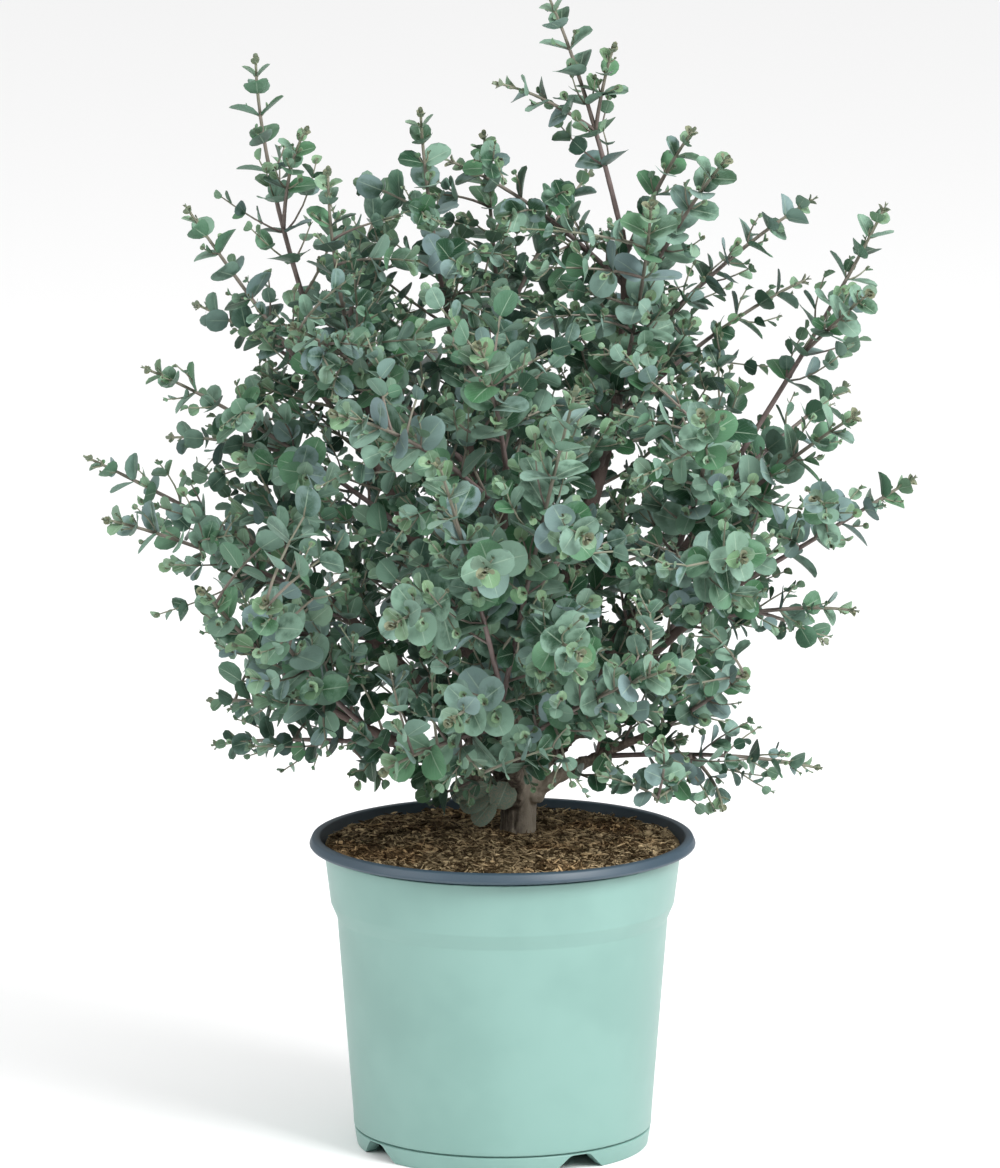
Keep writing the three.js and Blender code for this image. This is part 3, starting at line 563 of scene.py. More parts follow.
def route(start, along, tip, radii):
    """The stem from a start to a tip: it leaves along its carrier's way and bows outwards."""
    chord = tip - start
    length = np.linalg.norm(chord)
    pull = start + chord * 0.5 + along * SETTING_OUT * length
    rise = clamp((tip[2] - BOW_FROM) / BOW_RISE)
    pull = pull + unit(np.array((tip[0], tip[1], 0.0))) * BOW_OUT * length * rise
    pull[2] -= BOW_DOWN * length * rise
    return Stem(quadratic(start, pull, tip), radii)


class Plant:
    """Grows the branches and their leaves by the solids' own rules, then the leaves and shoots between."""

    def __init__(self):
        self.limbs = [Stem(cubic(curve), radii) for name, radii, curve in LIMBS]
        self.stems = [(limb, "wood") for limb in self.limbs]
        self.springs = []
        self.branches = []
        for index, (name, seat, tip, widest, forks) in enumerate(BRANCHES):
            main = self.carried(name, seat, np.array(tip, dtype=float))
            forked = [self.forked(main, np.array(end, dtype=float), name) for end in forks]
            for stem in [main] + forked:
                self.stems.append((stem, name))
            self.branches.append({"name": name, "index": index, "widest": widest, "stems": [main] + forked})
        self.gather_segments()
        self.tables = (np.zeros((0, 3)), np.zeros((0, 3)), np.zeros(0))
        for branch in self.branches:
            self.draw_pairs(branch)
        for branch in self.branches:
            self.fill_pairs(branch)
        for branch in self.branches:
            self.grow_shoots(branch)
        self.inner = []
        for branch in self.branches:
            main = branch["stems"][0]
            part = (BARE_FOOT_FROM * main.length, (1 - LEAFY_SHARE) * main.length + 8)
            self.fill_inside(main, branch, BARE_FOOT_SEED + branch["index"], part, BRANCH_OUTWARD)
        for (name, radii, curve), limb in zip(LIMBS[1:], self.limbs[1:]):
            index = len(self.branches) + len(self.inner)
            inner = {"name": name, "index": index, "shoots": [], "leaves": []}
            part = (INNER_FROM * limb.length, limb.length)
            self.fill_inside(limb, inner, LIMB_SEED + len(self.inner), part, LIMB_OUTWARD)
            self.inner.append(inner)
        self.fill_hollows()
        self.inner.append(self.old_twig())

    def old_twig(self):
        """The twig of old leaves beside the trunk."""
        foot, pull, tip = (np.array(place, dtype=float) for place in OLD_TWIG)
        twig = Stem(quadratic(foot, pull, tip, INNER_SAMPLES), INNER_RADIUS)
        leaves = []
        for seat, way, face, width, length in OLD_LEAVES:
            axis = unit(np.array(way, dtype=float))
            normal = np.array(face, dtype=float)
            normal = unit(normal - axis * np.dot(normal, axis))
            leaves.append({
                "point": np.array(seat, dtype=float), "axis": axis, "normal": normal, "width": width,
                "length": length, "radius": 0.5, "age": OLD_AGE,
            })
        return {"name": "old", "index": OLD_INDEX, "shoots": [(twig, 1.0)], "leaves": leaves}

    def nearest_approach(self, stem, owner):
        """How close a stem comes to any that isn't its owner's, away from its own root."""
        mine = stem.points[2:]
        mine = mine[np.linalg.norm(mine - stem.points[0], axis=1) > ROOT_REACH]
        least = math.inf
        for other, theirs in self.stems:
            if theirs != owner:
                apart = np.linalg.norm(mine[:, None] - other.points[None], axis=2).min() - other.radii[0]
                least = min(least, apart)
        return least

    def carried(self, name, seat, tip):
        """The branch's stem, from its given seat or from one that is near, in line and not crowded."""
        choices = []
        names = [line[0] for line in LIMBS]
        for limb in [self.limbs[names.index(seat[0])]] if seat else self.limbs[1:]:
            for share in seat[1:] or CARRIER_SHARES:
                point, along, radius = limb.at(share * limb.length)
                if any(np.linalg.norm(other - point) < SPRING_SPACING for other in self.springs):
                    continue
                way = tip - point
                length = np.linalg.norm(way)
                turn = 1 - np.dot(way / length, along)
                crowd = sum(np.linalg.norm(other - point) < CROWD_REACH for other in self.springs)
                short = SHORT_COST if length < SHORT_LENGTH else 0
                cost = length + TURN_COST * turn + CROWD_COST * crowd + short
                choices.append((cost, len(choices), point, along))
        choices.sort(key=lambda choice: choice[:2])
        best = None
        for cost, order, point, along in choices[:CHOICES]:
            stem = route(point, along, tip, BRANCH_RADIUS)
            clear = self.nearest_approach(stem, name)
            if best is None or clear > best[0]:
                best = (clear, stem, point)
            if clear > BRANCH_CLEARANCE:
                break
        self.springs.append(best[2])
        return best[1]

    def forked(self, parent, tip, owner):
        """The fork's stem, from the first place on its parent that leaves it clear."""
        best = None
        for share in FORK_SHARES:
            point, along, radius = parent.at(share * parent.length)
            stem = route(point, along, tip, FORK_RADIUS)
            clear = self.nearest_approach(stem, owner)
            if best is None or clear > best[0]:
                best = (clear, stem)
            if clear > BRANCH_CLEARANCE:
                break
        return best[1]

    def gather_segments(self):
        """Every stem's straight pieces: both ends, radius and owner."""
        self.lows = np.concatenate([stem.points[:-1] for stem, owner in self.stems])
        self.highs = np.concatenate([stem.points[1:] for stem, owner in self.stems])
        self.thick = np.concatenate([[stem.radii[0]] * STEM_SAMPLES for stem, owner in self.stems])
        self.owners = np.concatenate([[owner] * STEM_SAMPLES for stem, owner in self.stems])

    def is_clear(self, leaf):
        """Whether a leaf's disc meets no other leaf's disc and no other branch's stem."""
        centre, normal, reach = leaf["centre"], leaf["normal"], leaf["reach"]
        centres, normals, reaches = self.tables
        near = np.linalg.norm(centres - centre, axis=1) <= reaches + reach
        if near.any() and discs_meet(centre, normal, reach, centres[near], normals[near], reaches[near]):
            return False
        others = self.owners != leaf["owner"]
        lows, highs, thick = self.lows[others], self.highs[others], self.thick[others]
        low = (lows - centre) @ normal
        high = (highs - centre) @ normal
        margin = thick + STEM_MARGIN
        apart = ((low > margin) & (high > margin)) | ((low < -margin) & (high < -margin))
        gap = low - high
        level = np.abs(gap) < 1e-6
        t = np.where(level, 0.5, np.clip(low / np.where(level, 1, gap), 0, 1))
        at = lows + (highs - lows) * t[:, None] - centre
        at = at - (at @ normal)[:, None] * normal
        return not (~apart & (np.linalg.norm(at, axis=1) < reach + thick)).any()

    def settle_leaf(self, leaf):
        """Adds a placed leaf's disc to those that later leaves have to clear."""
        centres, normals, reaches = self.tables
        self.tables = (
            np.vstack((centres, [leaf["centre"]])),
            np.vstack((normals, [leaf["normal"]])),
            np.concatenate((reaches, [leaf["reach"]])),
        )

    def try_leaf(self, plan, branch, keep=False):
        """Bends a leaf until it is clear. One that can't be cleared is dropped, or kept as it first was."""
        first = None
        for more_splay, more_twist in BENDS:
            lean = max(math.radians(plan["splay"]) + more_splay, plan.get("least", LEAST_SPLAY))
            axis = plan["along"] * math.cos(lean) + plan["out"] * math.sin(lean)
            normal = plan["along"] * math.sin(lean) - plan["out"] * math.cos(lean)
            normal = turned_about(normal, axis, plan["twist"] + more_twist)
            length = plan["width"] / LEAF_ASPECT
            leaf = dict(plan, owner=branch["name"], axis=axis, normal=normal, length=length)
            leaf["centre"] = plan["point"] + axis * LEAF_CENTRE * length
            leaf["reach"] = length / 2 + LEAF_MARGIN
            first = first or leaf
            if self.is_clear(leaf):
                self.settle_leaf(leaf)
                branch.setdefault("leaves", []).append(leaf)
                return
        if keep:
            branch.setdefault("leaves", []).append(first)

    def plan_pairs(self, stem, widest, draw):
        """Every leaf of a stem, pair by pair from its tip, with its draws."""
        start = next(draw) * math.tau
        plans = []
        back = FIRST_PAIR
        index = 0
        while stem.length - back > (1 - LEAFY_SHARE) * stem.length:
            size = widest * LEAF_SIZES[min(index, len(LEAF_SIZES) - 1)]
            point, along, radius, side, other = stem.ring_frame(stem.length - back, start)
            for half in (0, 1):
                splay = SPLAY_AT_TIP + SPLAY_STEP * min(index, SPLAY_STEPS)
                splay += (next(draw) - 0.5) * SPLAY_DRAW
                twist = (next(draw) - 0.5) * TWIST_DRAW
                width = size * (1 + (next(draw) - 0.5) * WIDTH_DRAW)
                plans.append({
                    "pair": index, "point": point, "along": along, "radius": radius,
                    "out": (side, other, -side, -other)[index % 2 + 2 * half], "splay": splay,
                    "twist": twist, "width": width, "age": min(index / FULL_GROWN_PAIR, 1),
                })
            back += PAIR_GAP + PAIR_SPACING * size
            index += 1
        return plans

    def draw_pairs(self, branch):
        """The leaves that the solids have, placed in the same order and bent clear in the same way."""
        draw = draws(SOLIDS_SEED + SOLIDS_SEED_STEP * branch["index"])
        branch["plans"] = []
        for order, stem in enumerate(branch["stems"]):
            if order:
                drawn = DRAWN_PAIRS_ON_FORK
            else:
                drawn = DRAWN_PAIRS_BESIDE_FORK if len(branch["stems"]) > 1 else DRAWN_PAIRS
            widest = branch["widest"] * (FORK_LEAF_SHARE if order else 1)
            plans = self.plan_pairs(stem, widest, draw)
            branch["plans"].append(plans)
            for plan in plans:
                if plan["pair"] in drawn:
                    self.try_leaf(plan, branch)
                    plan["done"] = True

    def fill_pairs(self, branch):
        """The pairs between those, and the closed bud at each tip."""
        for stem, plans in zip(branch["stems"], branch["plans"]):
            for plan in plans:
                if "done" not in plan:
                    self.try_leaf(plan, branch, keep=True)
            self.bud(stem, branch, BUD_SHARE * branch["widest"])

    def bud(self, stem, branch, width):
        """Two small leaves pressed together at a stem's tip."""
        point, along, radius, side, other = stem.ring_frame(stem.length - 0.6, 0.7)
        for out in (side, -side):
            branch.setdefault("leaves", []).append({
                "point": point, "axis": unit(along + BUD_SPREAD * out),
                "normal": unit(BUD_SPREAD * along - out), "length": 1.5 * width, "width": width,
                "radius": radius, "age": BUD_AGE,
            })

    def grow_shoots(self, branch):
        """Side shoots from the axils, longer the further they are from the branch's tip."""
        rng = random.Random(AXIL_SEED + branch["index"])
        branch["shoots"] = []
        for plans in branch["plans"]:
            for plan in plans:
                if rng.random() > SHOOT_CHANCE:
                    continue
                order = min(plan["pair"], len(SHOOT_LENGTHS) - 1)
                length = SHOOT_LENGTHS[order] * rng.uniform(*SHOOT_LENGTH_DRAW)
                if branch["stems"][0].points[-1][2] > HIGH:
                    length *= HIGH_SHARE
                widest = branch["widest"] * SHOOT_LEAVES[order] * rng.uniform(*SHOOT_LEAF_DRAW)
                lean = math.radians(rng.uniform(*SHOOT_LEAN))
                point, along, out = plan["point"], plan["along"], plan["out"]
                sideways = np.cross(along, out) * rng.uniform(-0.5, 0.5)
                way = unit(along * math.cos(lean) + out * math.sin(lean) + sideways)
                pull = point + unit(out + 0.6 * along + sideways) * length * 0.4
                curve = quadratic(point, pull, point + way * length, SHOOT_SAMPLES)
                shoot = Stem(curve, SHOOT_RADIUS)
                branch["shoots"].append((shoot, 0.25 + 0.08 * order))
                gap = 1.2 + 0.1 * widest
                self.clothe(shoot, branch, widest, rng, SHOOT_SIZES, gap, SHOOT_PAIR_SPACING)

    def add_inner_shoot(self, curve, branch, rng):
        """A leafy inner shoot along a curve, with smaller shoots of its own."""
        shoot = Stem(curve, INNER_RADIUS)
        branch["shoots"].append((shoot, INNER_RIPENESS))
        self.clothe(shoot, branch, rng.uniform(*INNER_LEAF), rng, INNER_SIZES, INNER_PAIR_GAP,
                    INNER_PAIR_SPACING, OFFSHOOT_CHANCE)

    def fill_inside(self, stem, branch, seed, part, outward):
        """Leafy shoots along the given part of a stem."""
        rng = random.Random(seed)
        distance = part[0]
        turn = rng.uniform(0, math.tau)
        while distance < part[1]:
            point, along, radius, side, other = stem.ring_frame(distance, turn)
            turn += INNER_TURN
            length = rng.uniform(*INNER_LENGTH)
            lift = np.array((0, 0, rng.uniform(-0.1, 0.5)))
            way = unit(side + 0.9 * along + outward * away_from_trunk(point) + lift)
            pull = point + unit(side + 0.8 * along) * length * 0.45
            tip = point + way * length
            if not self.is_inside(tip):
                tip = point + way * length * INNER_SHORTENED
            if self.is_inside(tip):
                self.add_inner_shoot(quadratic(point, pull, tip, INNER_SAMPLES), branch, rng)
            distance += INNER_SPACING * rng.uniform(0.7, 1.3)

    def is_inside(self, place):
        """Whether a place is inside the bush's outline."""
        heights, middles, reaches = zip(*OUTLINE)
        across = place[0] - np.interp(place[2], heights, middles)
        reach = np.interp(place[2], heights, reaches, left=0, right=0)
        return math.hypot(across, place[1] - MIDDLE_Y) < reach

    def fill_hollows(self):
        """Leafy shoots from the nearest stem into every hollow inside the outline."""
        rng = random.Random(HOLLOW_SEED)
        hosts = [(stem, branch) for branch in self.branches for stem in branch["stems"]]
        hosts += list(zip(self.limbs[1:], self.inner))
        starts = np.concatenate([stem.points[6:] for stem, host in hosts])
        owners = [host for stem, host in hosts for point in stem.points[6:]]
        low, high = OUTLINE[0][0], OUTLINE[-1][0]
        widest = max(reach for height, middle, reach in OUTLINE)
        for attempt in range(HOLLOW_TRIES):
            across, deep = rng.uniform(-widest, widest), rng.uniform(-widest, widest)
            target = np.array((across, MIDDLE_Y + deep, rng.uniform(low, high)))
            if not self.is_inside(target):
                continue
            if np.linalg.norm(self.tables[0] - target, axis=1).min() < HOLLOW_REACH:
                continue
            apart = np.linalg.norm(starts - target, axis=1)
            apart = apart + HOLLOW_DROOP_COST * np.maximum(starts[:, 2] - target[2] + 10, 0)
            nearest = int(apart.argmin())
            start, host = starts[nearest], owners[nearest]
            length = np.linalg.norm(target - start)
            if HOLLOW_LENGTH[0] < length < HOLLOW_LENGTH[1]:
                pull = (start + target) / 2 + away_from_trunk(start) * length * 0.18
                tip = target + unit(target - start) * 8
                self.add_inner_shoot(quadratic(start, pull, tip, INNER_SAMPLES), host, rng)

    def clothe(self, shoot, branch, widest, rng, sizes, gap, spacing, chance=0.0):
        """A shoot's pairs of leaves, the bud at its tip, and by chance smaller shoots from its axils."""
        back = 1.0
        index = 0
        start = rng.uniform(0, math.tau)
        while back < SHOOT_LEAFY_SHARE * shoot.length:
            size = widest * sizes[min(index, len(sizes) - 1)]
            point, along, radius, side, other = shoot.ring_frame(shoot.length - back, start)
            for half in (0, 1):
                splay = SHOOT_SPLAY + SHOOT_SPLAY_STEP * min(index, SPLAY_STEPS)
                self.try_leaf({
                    "point": point, "along": along, "radius": radius,
                    "out": (side, other, -side, -other)[index % 2 + 2 * half],
                    "splay": splay + rng.uniform(-SHOOT_SPLAY_DRAW, SHOOT_SPLAY_DRAW),
                    "twist": rng.uniform(-SHOOT_TWIST_DRAW, SHOOT_TWIST_DRAW),
                    "width": size * rng.uniform(*SHOOT_WIDTH_DRAW),
                    "age": min((index + 0.3) / FULL_GROWN_PAIR, 1), "least": SHOOT_LEAST_SPLAY,
                }, branch)
            if index and rng.random() < chance:
                length = rng.uniform(*OFFSHOOT_LENGTH)
                out = rng.choice((side, -side, other, -other))
                pull = point + unit(out + 0.5 * along) * length * 0.4
                curve = quadratic(point, pull, point + unit(out + along) * length, SHOOT_SAMPLES)
                small = Stem(curve, SHOOT_RADIUS)
                branch["shoots"].append((small, OFFSHOOT_RIPENESS))
                leaf = OFFSHOOT_LEAF_SHARE * widest
                self.clothe(small, branch, leaf, rng, SHOOT_SIZES, OFFSHOOT_PAIR_GAP, SHOOT_PAIR_SPACING)
            back += gap + spacing * size
            index += 1
        self.bud(shoot, branch, clamp(0.2 * widest, 1.3, 2.6))


def discs_meet(centre, normal, reach, centres, normals, reaches):
    """Whether a disc meets any of the others."""
    between = centres - centre
    offset = np.einsum("ij,ij->i", between, normals)
    lift = np.minimum(np.abs(between @ normal), np.abs(offset))
    low = lift < LEAF_LIFT
    if (low & (np.abs(normals @ normal) > 0.8)).any():
        return True
    line = np.cross(normal, normals)
    sine = np.linalg.norm(line, axis=1)
    flat = sine < 0.1
    if (flat & low).any():
        return True
    rest = ~flat
    line, sine, offset = line[rest] / sine[rest, None], sine[rest], offset[rest]
    between, normals, reaches = between[rest], normals[rest], reaches[rest]
    meet = np.cross(line, normal) * (offset / sine)[:, None]
    meet = np.where((np.einsum("ij,ij->i", meet, normals) * offset < 0)[:, None], -meet, meet)
    from_a = np.einsum("ij,ij->i", meet, line)
    reach_a = reach**2 - np.einsum("ij,ij->i", meet, meet) + from_a**2
    from_b = meet - between
    along_b = np.einsum("ij,ij->i", from_b, line)
    reach_b = reaches**2 - np.einsum("ij,ij->i", from_b, from_b) + along_b**2
    both = (reach_a > 0) & (reach_b > 0)
    half = np.sqrt(np.maximum(reach_a, 0)) + np.sqrt(np.maximum(reach_b, 0))
    return bool((both & (np.abs(along_b - from_a) < half)).any())


@functools.cache
def grown_plant():
    """The plant's growth, worked out once for the wood and the foliage."""
    return Plant()


# Meshes
class Skin:
    """Collects vertices and faces with a material, blade places and a colour for each face's corners."""

    def __init__(self):
        self.points = []
        self.count = 0
        self.faces = []
        self.slots = []
        self.colours = []
        self.places = []

    def add(self, points, faces, slot, colours, places=None):
        """Faces index these points. colours holds one for each face, and places one pair for each point."""
        base = self.count
        self.points.append(np.asarray(points, dtype=float))
        self.count += len(points)
        for face, colour in zip(faces, colours):
            self.faces.append([base + i for i in face])
            self.slots.append(slot)
            self.colours.extend([colour] * len(face))
            self.places.extend([places[i] if places is not None else (0.5, 0.5) for i in face])

    def piece(self, name, materials, cad_nodes, slot, sharp=None):
        """The finished object, riding on the root and standing for its solids."""
        mesh = bpy.data.meshes.new(name)
        mesh.from_pydata((np.concatenate(self.points) * MM).tolist(), [], self.faces)
        for material in materials:
            mesh.materials.append(material)
        mesh.polygons.foreach_set("material_index", self.slots)
        mesh.polygons.foreach_set("use_smooth", [True] * len(self.faces))
        tint = mesh.color_attributes.new("tint", "FLOAT_COLOR", "CORNER")
        tint.data.foreach_set("color", np.array(self.colours, dtype=np.float32).ravel())
        blade = mesh.uv_layers.new(name="blade")
        blade.data.foreach_set("uv", np.array(self.places, dtype=np.float32).ravel())
        mesh.update()
        if sharp:
            mesh.set_sharp_from_angle(angle=math.radians(sharp))
        return settle(bpy.data.objects.new(name, mesh), cad_nodes)


def settle(piece, cad_nodes):
    """Links a piece, lets it ride on the root, and hides the solids that it stands for."""
    if piece.name not in bpy.context.scene.collection.objects:
        bpy.context.scene.collection.objects.link(piece)
    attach(piece, "root")
    if cad_nodes:
        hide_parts(*cad_nodes)
    return piece


def blade_grid(rows, columns):
    """A blade's places, the faces between them, and which faces look down.

    A place is how far across it is, from -1 to 1, how far along, from 0 to 1, and the face that it is on:
    1 for the upper face and its rim, -1 for the under face, and 0 for the seat and the tip.
    """
    places = [(0.0, 0.0, 0)]
    upper = {(0, c): 0 for c in range(columns + 1)}
    under = dict(upper)
    for row in range(1, rows):
        for column in range(columns + 1):
            across = 2 * column / columns - 1
            upper[row, column] = len(places)
            under[row, column] = len(places)
            places.append((across, row / rows, 1))
            if 0 < column < columns:
                under[row, column] = len(places)
                places.append((across, row / rows, -1))
    for column in range(columns + 1):
        upper[rows, column] = under[rows, column] = len(places)
    places.append((0.0, 1.0, 0))
    faces = []
    downs = []
    for row in range(rows):
        for column in range(columns):
            corners = [(row, column), (row, column + 1), (row + 1, column + 1), (row + 1, column)]
            top = [upper[corner] for corner in corners]
            low = [under[corner] for corner in reversed(corners)]
            for face, down in ((top, 0.0), (low, 1.0)):
                faces.append(list(dict.fromkeys(face)))
                downs.append(down)
    return np.array(places), faces, downs


GRIDS = [(least, blade_grid(rows, columns)) for rows, columns, least in BLADE_GRIDS]


def add_blade(skin, leaf, tone, rng):
    """One leaf: round, a little folded along its midrib, cupped at its seat and curled back at its tip."""
    youth = 1 - clamp(leaf["age"])
    share = BLADE_SHARE + TIP_SHARE * youth
    width, length, radius = leaf["width"] * share, leaf["length"] * share, leaf["radius"]
    places, faces, downs = next(grid for least, grid in GRIDS if width >= least)
    across, along, face = places.T
    turn = np.pi * along
    half = 0.5 * width * np.sin(turn) ** BLADE_ROUNDNESS
    y = radius * 0.6 + (length - radius * 0.6) * (1 - np.cos(turn)) / 2
    x = across * half
    fold = rng.uniform(*FOLD) + YOUNG_FOLD * youth
    cup = rng.uniform(*CUP) + YOUNG_CUP * youth
    curl = rng.uniform(*CURL) + YOUNG_CURL * youth
    skew = rng.uniform(-SKEW, SKEW)
    z = fold * np.sqrt(x * x + 0.05 * width * width) - fold * 0.22 * width
    z += cup * x * x / width - curl * (y / length) ** 2 * length
    z += RIPPLE * width * np.sin(5.2 * along + rng.uniform(0, 6.3)) * across * np.abs(across)
    z += skew * x * (y / length)
    z += face * BLADE_THICKNESS * min(width / 14, 1) * 0.5 * (1 - across**2)
    axis, normal = leaf["axis"], leaf["normal"]
    side = np.cross(normal, axis)
    points = leaf["point"] + np.outer(x, side) + np.outer(y, axis) + np.outer(z, normal)
    hue = rng.random()
    colours = [(tone, max(leaf["age"], 0.0), down, hue) for down in downs]
    skin.add(points, faces, 0, colours, np.stack((0.5 + across / 2, along), axis=1))


def add_tube(skin, points, radii, sides, slot, ripe=(0.0, 0.0), rough=0.0):
    """A closed round stem through the points, pointed at both ends. ripe holds its foot's and tip's."""
    rings = []
    directions = np.gradient(points, axis=0)
    side = None
    for i, (point, way) in enumerate(zip(points, directions)):
        way = unit(way)
        if side is None:
            side = unit(np.cross(way, (0.31, 0.77, 0.55)))
        side = unit(side - way * np.dot(side, way))
        other = np.cross(way, side)
        for k in range(sides):
            angle = math.tau * k / sides
            bump = 1 + rough * math.sin(3.1 * i + 2.3 * k)
            rings.append(point + (side * math.cos(angle) + other * math.sin(angle)) * radii[i] * bump)
    count = len(points)
    rings.append(points[0] - unit(directions[0]) * radii[0] * 0.5)
    rings.append(points[-1] + unit(directions[-1]) * radii[-1] * 0.8)
    faces = []
    colours = []
    for i in range(count - 1):
        for k in range(sides):
            j = (k + 1) % sides
            faces.append([i * sides + k, i * sides + j, (i + 1) * sides + j, (i + 1) * sides + k])
            colours.append((0, ripe[0] + (ripe[1] - ripe[0]) * i / count, 0, 1))
    foot, top = count * sides, count * sides + 1
    for k in range(sides):
        j = (k + 1) % sides
        faces.append([j, k, foot])
        faces.append([(count - 1) * sides + k, (count - 1) * sides + j, top])
        colours.extend([(0, ripe[0], 0, 1), (0, ripe[1], 0, 1)])
    skin.add(np.array(rings), faces, slot, colours)


def lathe(profile, segments):
    """A closed turned body from [radius, height] points that start and end on the axis."""
    points = [(0.0, 0.0, profile[0][1])]
    for r, z in profile[1:-1]:
        for k in range(segments):
            turn = math.tau * k / segments
            points.append((r * math.cos(turn), r * math.sin(turn), z))
    points.append((0.0, 0.0, profile[-1][1]))
    faces = []
    last = len(points) - 1
    bands = len(profile) - 2
    for k in range(segments):
        j = (k + 1) % segments
        faces.append([0, 1 + j, 1 + k])
        faces.append([last, 1 + (bands - 1) * segments + k, 1 + (bands - 1) * segments + j])
        for band in range(bands - 1):
            low, high = 1 + band * segments, 1 + (band + 1) * segments
            faces.append([low + k, low + j, high + j, high + k])
    return points, faces


def filleted(profile, radius=0.8, steps=3):
    """The same profile with its corners rounded, as moulded plastic has them."""
    smooth = [profile[0]]
    for before, corner, after in zip(profile, profile[1:], profile[2:]):
        a, b, c = (np.array(p, dtype=float) for p in (before, corner, after))
        lead = min(radius, 0.45 * np.linalg.norm(a - b))
        tail = min(radius, 0.45 * np.linalg.norm(c - b))
        first, second = b + unit(a - b) * lead, b + unit(c - b) * tail
        for step in range(steps + 1):
            t = step / steps
            smooth.append(tuple(first * (1 - t) ** 2 + b * 2 * t * (1 - t) + second * t * t))
    return smooth + [profile[-1]]


def bare_object(name, points, faces):
    """An object of these points and faces, in the scene but not declared."""
    mesh = bpy.data.meshes.new(name)
    mesh.from_pydata([(x * MM, y * MM, z * MM) for x, y, z in points], [], faces)
    mesh.update()
    piece = bpy.data.objects.new(name, mesh)
    bpy.context.scene.collection.objects.link(piece)
    return piece


def apply_modifiers(piece):
    """Turns a piece's modifiers into its mesh."""
    done = bpy.data.meshes.new_from_object(piece.evaluated_get(bpy.context.evaluated_depsgraph_get()))
    piece.modifiers.clear()
    old = piece.data
    piece.data = done
    bpy.data.meshes.remove(old)


def cut(piece, cutters):
    """Takes the cutters out of a piece and removes them."""
    for cutter in cutters:
        modifier = piece.modifiers.new("cut", "BOOLEAN")
        modifier.object = cutter
        modifier.operation = "DIFFERENCE"
        modifier.solver = "EXACT"
    apply_modifiers(piece)
    for cutter in cutters:
        bpy.data.objects.remove(cutter)


def drain_cutters():
    """A short rod for each drain hole."""
    cutters = []
    low, high = DRAIN_CUT
    for i in range(DRAINS):
        turn = math.tau * (i + 0.5) / DRAINS
        x, y = DRAIN_CIRCLE * math.cos(turn), DRAIN_CIRCLE * math.sin(turn)
        section = [(0, low), (DRAIN_RADIUS, low), (DRAIN_RADIUS, high), (0, high)]
        points, faces = lathe(section, DRAIN_SEGMENTS)
        cutters.append(bare_object("drain", [(x + px, y + py, z) for px, py, z in points], faces))
    return cutters


def notch_cutters():
    """Rounded arches that leave the foot ring standing on four flat sections."""
    cutters = []
    top = FOOT_HEIGHT - 0.6
    foot_half, top_half = NOTCH_FOOT_WIDTH / 2, NOTCH_TOP_WIDTH / 2
    # The arch starts a little under the ground, so that no edge of the cutter lies on the foot's face.
    outline = [(-foot_half - 3, -1), (foot_half + 3, -1), (foot_half, 0), (top_half, top), (-top_half, top),
               (-foot_half, 0)]
    rounded = filleted(outline + [outline[0]], radius=NOTCH_ROUNDING, steps=4)[1:-1]
    outline = [outline[0]] + rounded
    n = len(outline)
    for i in range(NOTCHES):
        turn = math.radians(NOTCH_ANGLE + 360 / NOTCHES * i)
        cos, sin = math.cos(turn), math.sin(turn)
        points = []
        for depth in (FOOT_RADIUS + NOTCH_REACH, FOOT_RADIUS - NOTCH_REACH):
            for across, z in outline:
                points.append((across * cos + depth * sin, across * sin - depth * cos, z))
        faces = [list(range(n)), list(range(2 * n - 1, n - 1, -1))]
        faces += [[k, n + k, n + (k + 1) % n, (k + 1) % n] for k in range(n)]
        cutters.append(bare_object("notch", points, faces))
    return cutters


def wall_section(inset, corner):
    """The wall's section from its heel, at the corner's height, to the top of its step."""
    return [(HEEL_RADIUS - 1.2 * inset, corner)] + [(r - inset, z) for r, z in WALL_STATIONS]


def outer_section():
    """The mint layer's section: foot ring, groove, wall and lip, and back down its inner side."""
    inside = FOOT_RADIUS - FOOT_WIDTH
    section = [(0, BASE_TOP - LAYER), (inside, BASE_TOP - LAYER), (inside, 0), (FOOT_RADIUS, 0)]
    section.append((FOOT_RADIUS + FOOT_FLARE, FOOT_HEIGHT))
    section += [(FOOT_RADIUS - GROOVE_DEPTH, FOOT_HEIGHT + edge) for edge in GROOVE_EDGES]
    section += wall_section(0, FOOT_HEIGHT + HEEL_RISE)
    section += [(WALL_TOP_RADIUS, WALL_TOP), (WALL_TOP_RADIUS - LAYER, WALL_TOP)]
    return section + wall_section(LAYER, BASE_TOP)[::-1] + [(0, BASE_TOP)]


def liner_section():
    """The slate layer's section: floor, wall and rolled rim, and back down its inner side."""
    skin = LAYER + GAP
    floor = BASE_TOP + GAP
    section = [(0, floor)] + wall_section(skin, floor) + [(WALL_TOP_RADIUS - skin, RIM_UNDERSIDE)]
    section += [(RIM_RADIUS - inset, z) for inset, z in RIM_SECTION]
    section += [(SOIL_RADIUS + 0.7, SOIL_LEVEL - 0.8), (SOIL_RADIUS - 2.2, SOIL_LEVEL - SOIL_BEVEL)]
    return section + wall_section(skin + LAYER, floor + LAYER)[::-1] + [(0, floor + LAYER)]


def soil_top(x, y):
    """The compost's height without its crumbs."""
    waves = math.sin(0.11 * x + 0.4) * math.cos(0.13 * y - 0.7) + 0.6 * math.sin(0.27 * x - 0.21 * y)
    return SOIL_LEVEL + SOIL_RELIEF * waves


# Materials
def new_group(name, inputs, outputs):
    """A shader node group with these named sockets, given as name, type and default."""
    group = bpy.data.node_groups.new(name, "ShaderNodeTree")
    for label, kind, default in inputs:
        socket = group.interface.new_socket(name=label, in_out="INPUT", socket_type=kind)
        socket.default_value = default
    for label, kind in outputs:
        group.interface.new_socket(name=label, in_out="OUTPUT", socket_type=kind)
    return group


